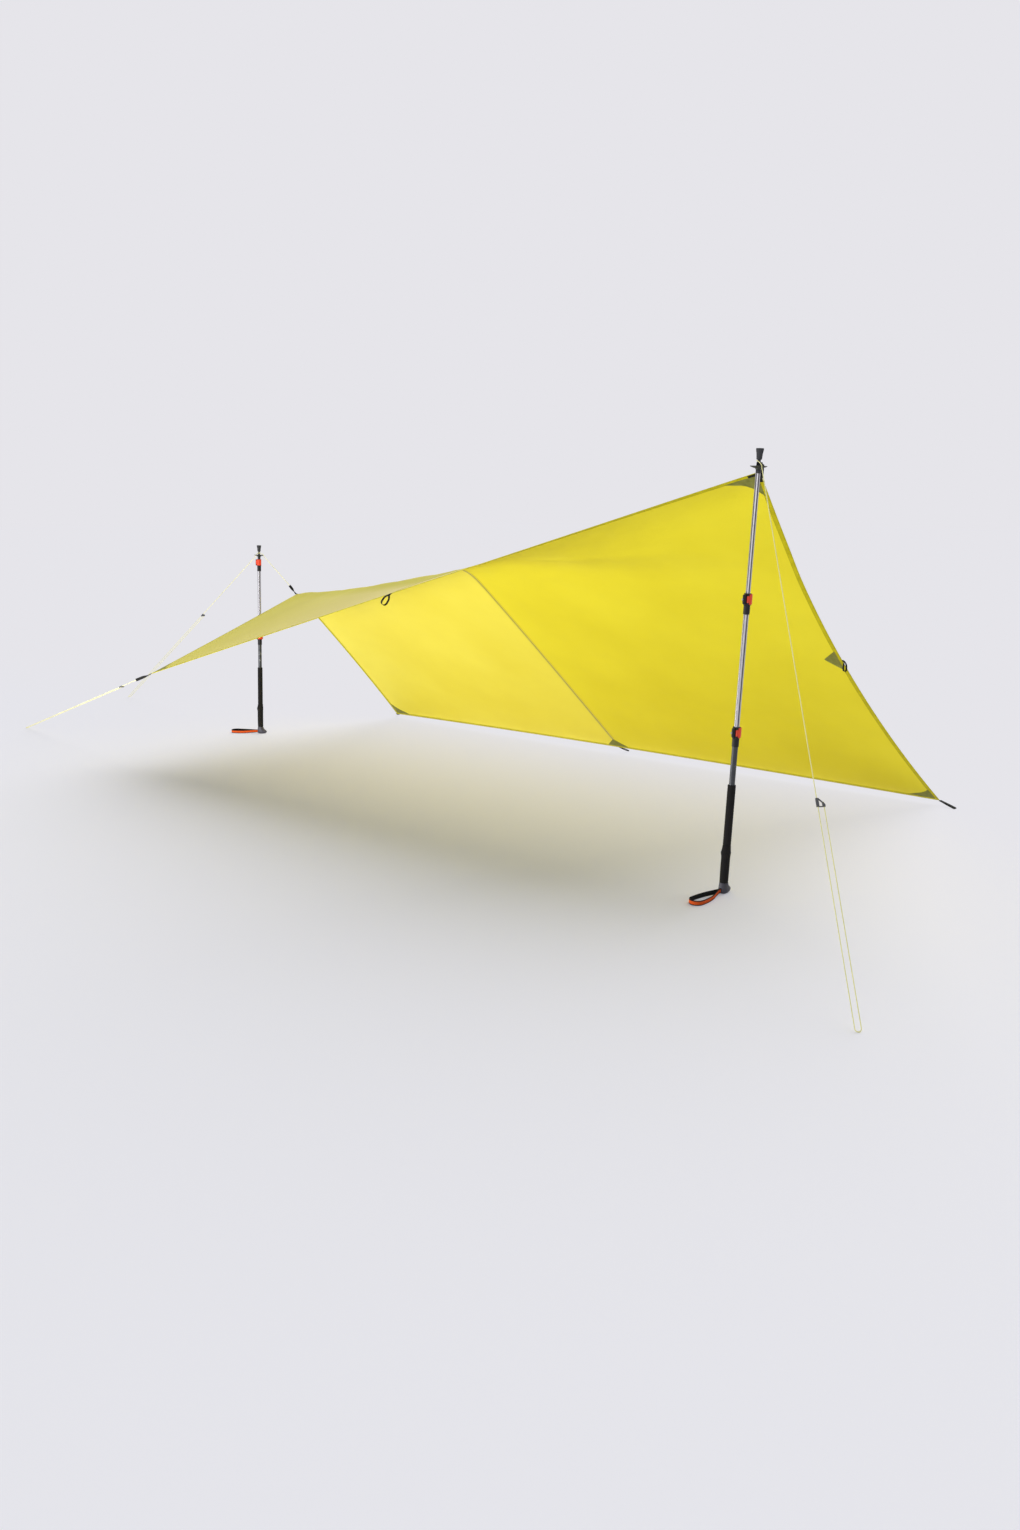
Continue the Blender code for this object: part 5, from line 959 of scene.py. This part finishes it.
def add_peak_band():
    """One band, sewn under both hems, that climbs past the corner and the basket and rounds the neck."""
    pole = pole_matrix(*POLES["near"][:2])
    peak = cloth_point(CLOTH_LENGTH, CLOTH_WIDTH)
    hub = pole @ Vector((0, 0, NEAR_HUB))
    axis = (pole.to_3x3() @ Vector((0, 0, 1))).normalized()
    inward = ((peak - hub) * Vector((1, 1, 0))).normalized()
    left = Vector((-inward.y, inward.x, 0))

    def spot(depth, aside, rise):
        return hub + inward * depth + left * aside + axis * rise

    def sewn(by_side, by_end):
        return cloth_point(CLOTH_LENGTH - by_side, CLOTH_WIDTH - by_end, under)

    under = -(HEM_THICK / 2 + 0.6 * MM + WEBBING_THICK / 2)
    outer, inner = (HEM_WIDTH - BAND_WIDTH) / 2, (HEM_WIDTH + BAND_WIDTH) / 2
    front = [(sewn(s, outer), sewn(s, inner)) for s in (42 * MM, 28 * MM)]
    right = [(sewn(inner, s), sewn(outer, s)) for s in (28 * MM, 42 * MM)]
    front_sides, right_sides = [[a - b for a, b in leg] for leg in (front, right)]
    ring = NECK_RADIUS + FIT + WEBBING_THICK / 2
    rise = HUB_LENGTH + BAND_WIDTH / 2 + FIT
    climb, aside, opening = BASKET_RADIUS + 1.8 * MM, 6.6 * MM, 0.75
    turns = [opening + (2 * math.pi - 2 * opening) * k / 10 for k in range(11)]
    path = [(a + b) / 2 for a, b in front]
    path += [spot(*at) for at in (
        (climb + 4.5 * MM, aside + 4 * MM, -13 * MM), (climb, aside, -5 * MM), (climb, aside, 8 * MM),
        (climb, aside, rise), (16 * MM, aside * 0.8, rise),
        *[(ring * math.cos(angle), ring * math.sin(angle), rise) for angle in turns],
        (16 * MM, -aside * 0.8, rise), (climb, -aside, rise),
        (climb, -aside, 8 * MM), (climb, -aside, -7 * MM), (climb + 10 * MM, 1.6 * MM - aside, -18.5 * MM),
    )]
    path += [(a + b) / 2 for a, b in right]
    sides = [*front_sides, front_sides[1].normalized() + left, left, left, left * 0.5 + axis, axis]
    sides += [axis] * 11 + [axis, left * 0.5 + axis, left, left, left, *right_sides]
    return add_webbing("peak_band", "near_peak_webbing", path, sides, BAND_WIDTH)


TRIM["right"] += [
    add_tail("free_tail", "free_corner_webbing", (0, CLOTH_WIDTH), (-0.7, 0.7), CORNER_GUYLINE[0]),
    add_tail("lifted_tail", "lifted_edge_webbing", (0, CLOTH_WIDTH / 2), (-1, 0), LINK_LINE[-1]),
    *add_loops(), add_peak_band(),
]


# Poles


def turned_shell(name, rings, matrix, sides=48):
    """A closed hollow form from rings of (height, radius, shift, oval), outer ones first, then the bore."""
    angles = [2 * math.pi * m / sides for m in range(sides)]
    circles = [
        [matrix @ Vector((shift + radius * math.cos(a), radius * oval * math.sin(a), z)) for a in angles]
        for z, radius, shift, oval in rings
    ]
    around = [(m / sides, (m + 1) / sides) for m in range(sides)]
    return skin(name, circles, around, [ring[0] for ring in rings], closed=True, smooth_angle=50)


def grip_form(share, up, _):
    """Radius, shift and oval of the grip: palm swell, finger ledge and shallow grooves 5.2 mm apart."""
    ledge = math.exp(-(((share - 0.80) / 0.07) ** 2))
    radius = GRIP_RADIUS + 0.7 * MM * math.sin(math.pi * share) + 1.9 * MM * ledge
    radius -= 0.35 * MM * max(0.0, math.cos(2 * math.pi * up / (5.2 * MM))) ** 6 * (0.12 < share < 0.66)
    if share > 0.93:
        radius = min(radius, 13.1 * MM + 4 * MM * (1 - share) / 0.07 * 0.3)
    radius -= 0.7 * MM * max(0.0, 1 - 36 * share)
    shift = -1.2 * MM * math.exp(-(((share - 0.80) / 0.08) ** 2)) - 0.6 * MM * math.sin(math.pi * share)
    return radius, shift, 0.94


def sleeve_form(_, up, down):
    """Radius, shift and oval of the sleeve, which is straight, with rounded ends and grooves 9.7 mm apart."""
    edge = min(up, down)
    radius = SLEEVE_RADIUS - 1.3 * MM * max(0.0, 1 - edge / (3 * MM)) ** 2
    radius -= 0.3 * MM * max(0.0, math.cos(2 * math.pi * up / (9.7 * MM))) ** 8 * (edge > 8 * MM)
    return radius, 0, 1


def add_foam(side, piece, node, low, high, steps, form, matrix):
    """A foam tube. Form gives a ring for a share of its length and the ways to its low and high ends."""
    bore = UPPER_RADIUS + FIT
    rings = [(low, bore, 0, 1)]
    for k in range(steps + 1):
        z = low + (high - low) * (k / steps)
        rings.append((z, *form(k / steps, z - low, high - z)))
    rings.append((high, bore, 0, 1))
    foam = put_in_place(
        f"{side}_{piece}", turned_shell(piece, rings, matrix), ["foam"], f"{side}_{node}",
    )


def draw_tube(radius, length):
    """A round tube from the origin up: a rod whose ends are inset by the wall and joined through its middle."""
    bpy.ops.mesh.primitive_cylinder_add(vertices=64, radius=radius, depth=length, location=(0, 0, length / 2))
    tube = bpy.context.object
    bpy.ops.object.mode_set(mode="EDIT")
    bpy.ops.mesh.select_mode(type="FACE")
    mesh = bmesh.from_edit_mesh(tube.data)
    for face in mesh.faces:
        face.select_set(abs(face.normal.z) > 0.9)
    bmesh.update_edit_mesh(tube.data)
    bpy.ops.mesh.inset(thickness=SHAFT_WALL, depth=0)
    bpy.ops.mesh.bridge_edge_loops()
    bpy.ops.object.mode_set(mode="OBJECT")
    bpy.ops.object.transform_apply(location=True, rotation=True, scale=True)
    bpy.ops.object.shade_smooth_by_angle(angle=math.radians(40))
    tube.select_set(False)
    return tube


def wrap_round(mesh):
    """UV in metres round the tube and along it."""
    layer = mesh.uv_layers.active or mesh.uv_layers.new(name="surface")
    for face in mesh.polygons:
        middle = math.atan2(face.center.y, face.center.x)
        for loop in face.loop_indices:
            x, y, z = mesh.vertices[mesh.loops[loop].vertex_index].co
            away = (math.atan2(y, x) - middle + math.pi) % math.tau - math.pi
            layer.data[loop].uv = ((middle + away) * UPPER_RADIUS, z)


def add_shafts(poles):
    """The three tubes of a pole: each is modelled once, and copied with its own mesh for either pole."""
    for number, (part, finish, slot) in enumerate((
        ("upper", "upper", "grey_anodised_aluminium"),
        ("middle", "shaft", "anodised_aluminium"),
        ("lower", "shaft", "anodised_aluminium"),
    )):
        model = None
        for side, matrix in poles.items():
            node = f"{side}_{part}_shaft"
            heights = [(matrix.inverted() @ v.co).z for v in NODES[node].data.vertices]
            if model is None:
                model = draw_tube(UPPER_RADIUS - number * SHAFT_STEP, max(heights) - min(heights))
                wrap_round(model.data)
            mesh = model.data.copy()
            mesh.transform(matrix @ Matrix.Translation((0, 0, min(heights))))
            mesh.materials.clear()
            put_in_place(f"{side}_{part}_tube", mesh, [finish], node)
        bpy.data.objects.remove(model)


def add_strap(side, matrix):
    """The wrist strap: a lined band on edge, which sinks to the floor, opens out and comes back."""
    upright = matrix.to_3x3()

    def floor_at(x, y):
        return -(upright[2][0] * x + upright[2][1] * y) / upright[2][2]

    near, settle = UPPER_RADIUS + 2.6 * MM, 12 * MM
    far, half, root = near + STRAP_REACH, STRAP_HALF, 1.05 * MM
    leg = [(-near, root), (-near - settle, root)]
    leg += [(-near - way, root + (half - root) * share) for way, share in STRAP_OPENING]
    angles = [math.pi / 2 - math.pi * k / 12 for k in range(13)]
    path = leg + [(-far + half * (1 - math.cos(angle)), half * math.sin(angle)) for angle in angles]
    path += [(x, -y) for x, y in reversed(leg)]
    points = []
    for x, y in path:
        sunk = min(1.0, max(0.0, -x - near - settle) / (60 * MM))
        drop = (floor_at(x, y) + 0.5 * MM - 3 * MM) * sunk
        points.append(matrix @ Vector((x, y, STRAP_HEIGHT + drop)))
    name, sides = f"{side}_lined_strap", [upright @ Vector((0, 0, 1))] * len(points)
    mesh = ribbon_mesh(name, points, sides, STRAP_WIDTH, STRAP_THICK, 1, 5)
    strap = put_in_place(name, mesh, ["strap_outer", "strap_inner"], f"{side}_wrist_strap")


add_shafts({side: pole_matrix(foot, lean) for side, (foot, lean, _) in POLES.items()})
for side, (foot, lean, strap_turn) in POLES.items():
    pole = pole_matrix(foot, lean)
    turned = pole @ Matrix.Rotation(strap_turn, 4, "Z")
    add_foam(side, "foam_grip", "grip", GRIP_LOW, SLEEVE_LOW - FIT, 72, grip_form, turned)
    add_foam(side, "long_sleeve", "foam_sleeve", SLEEVE_LOW, SLEEVE_HIGH, 80, sleeve_form, pole)
    add_strap(side, turned)
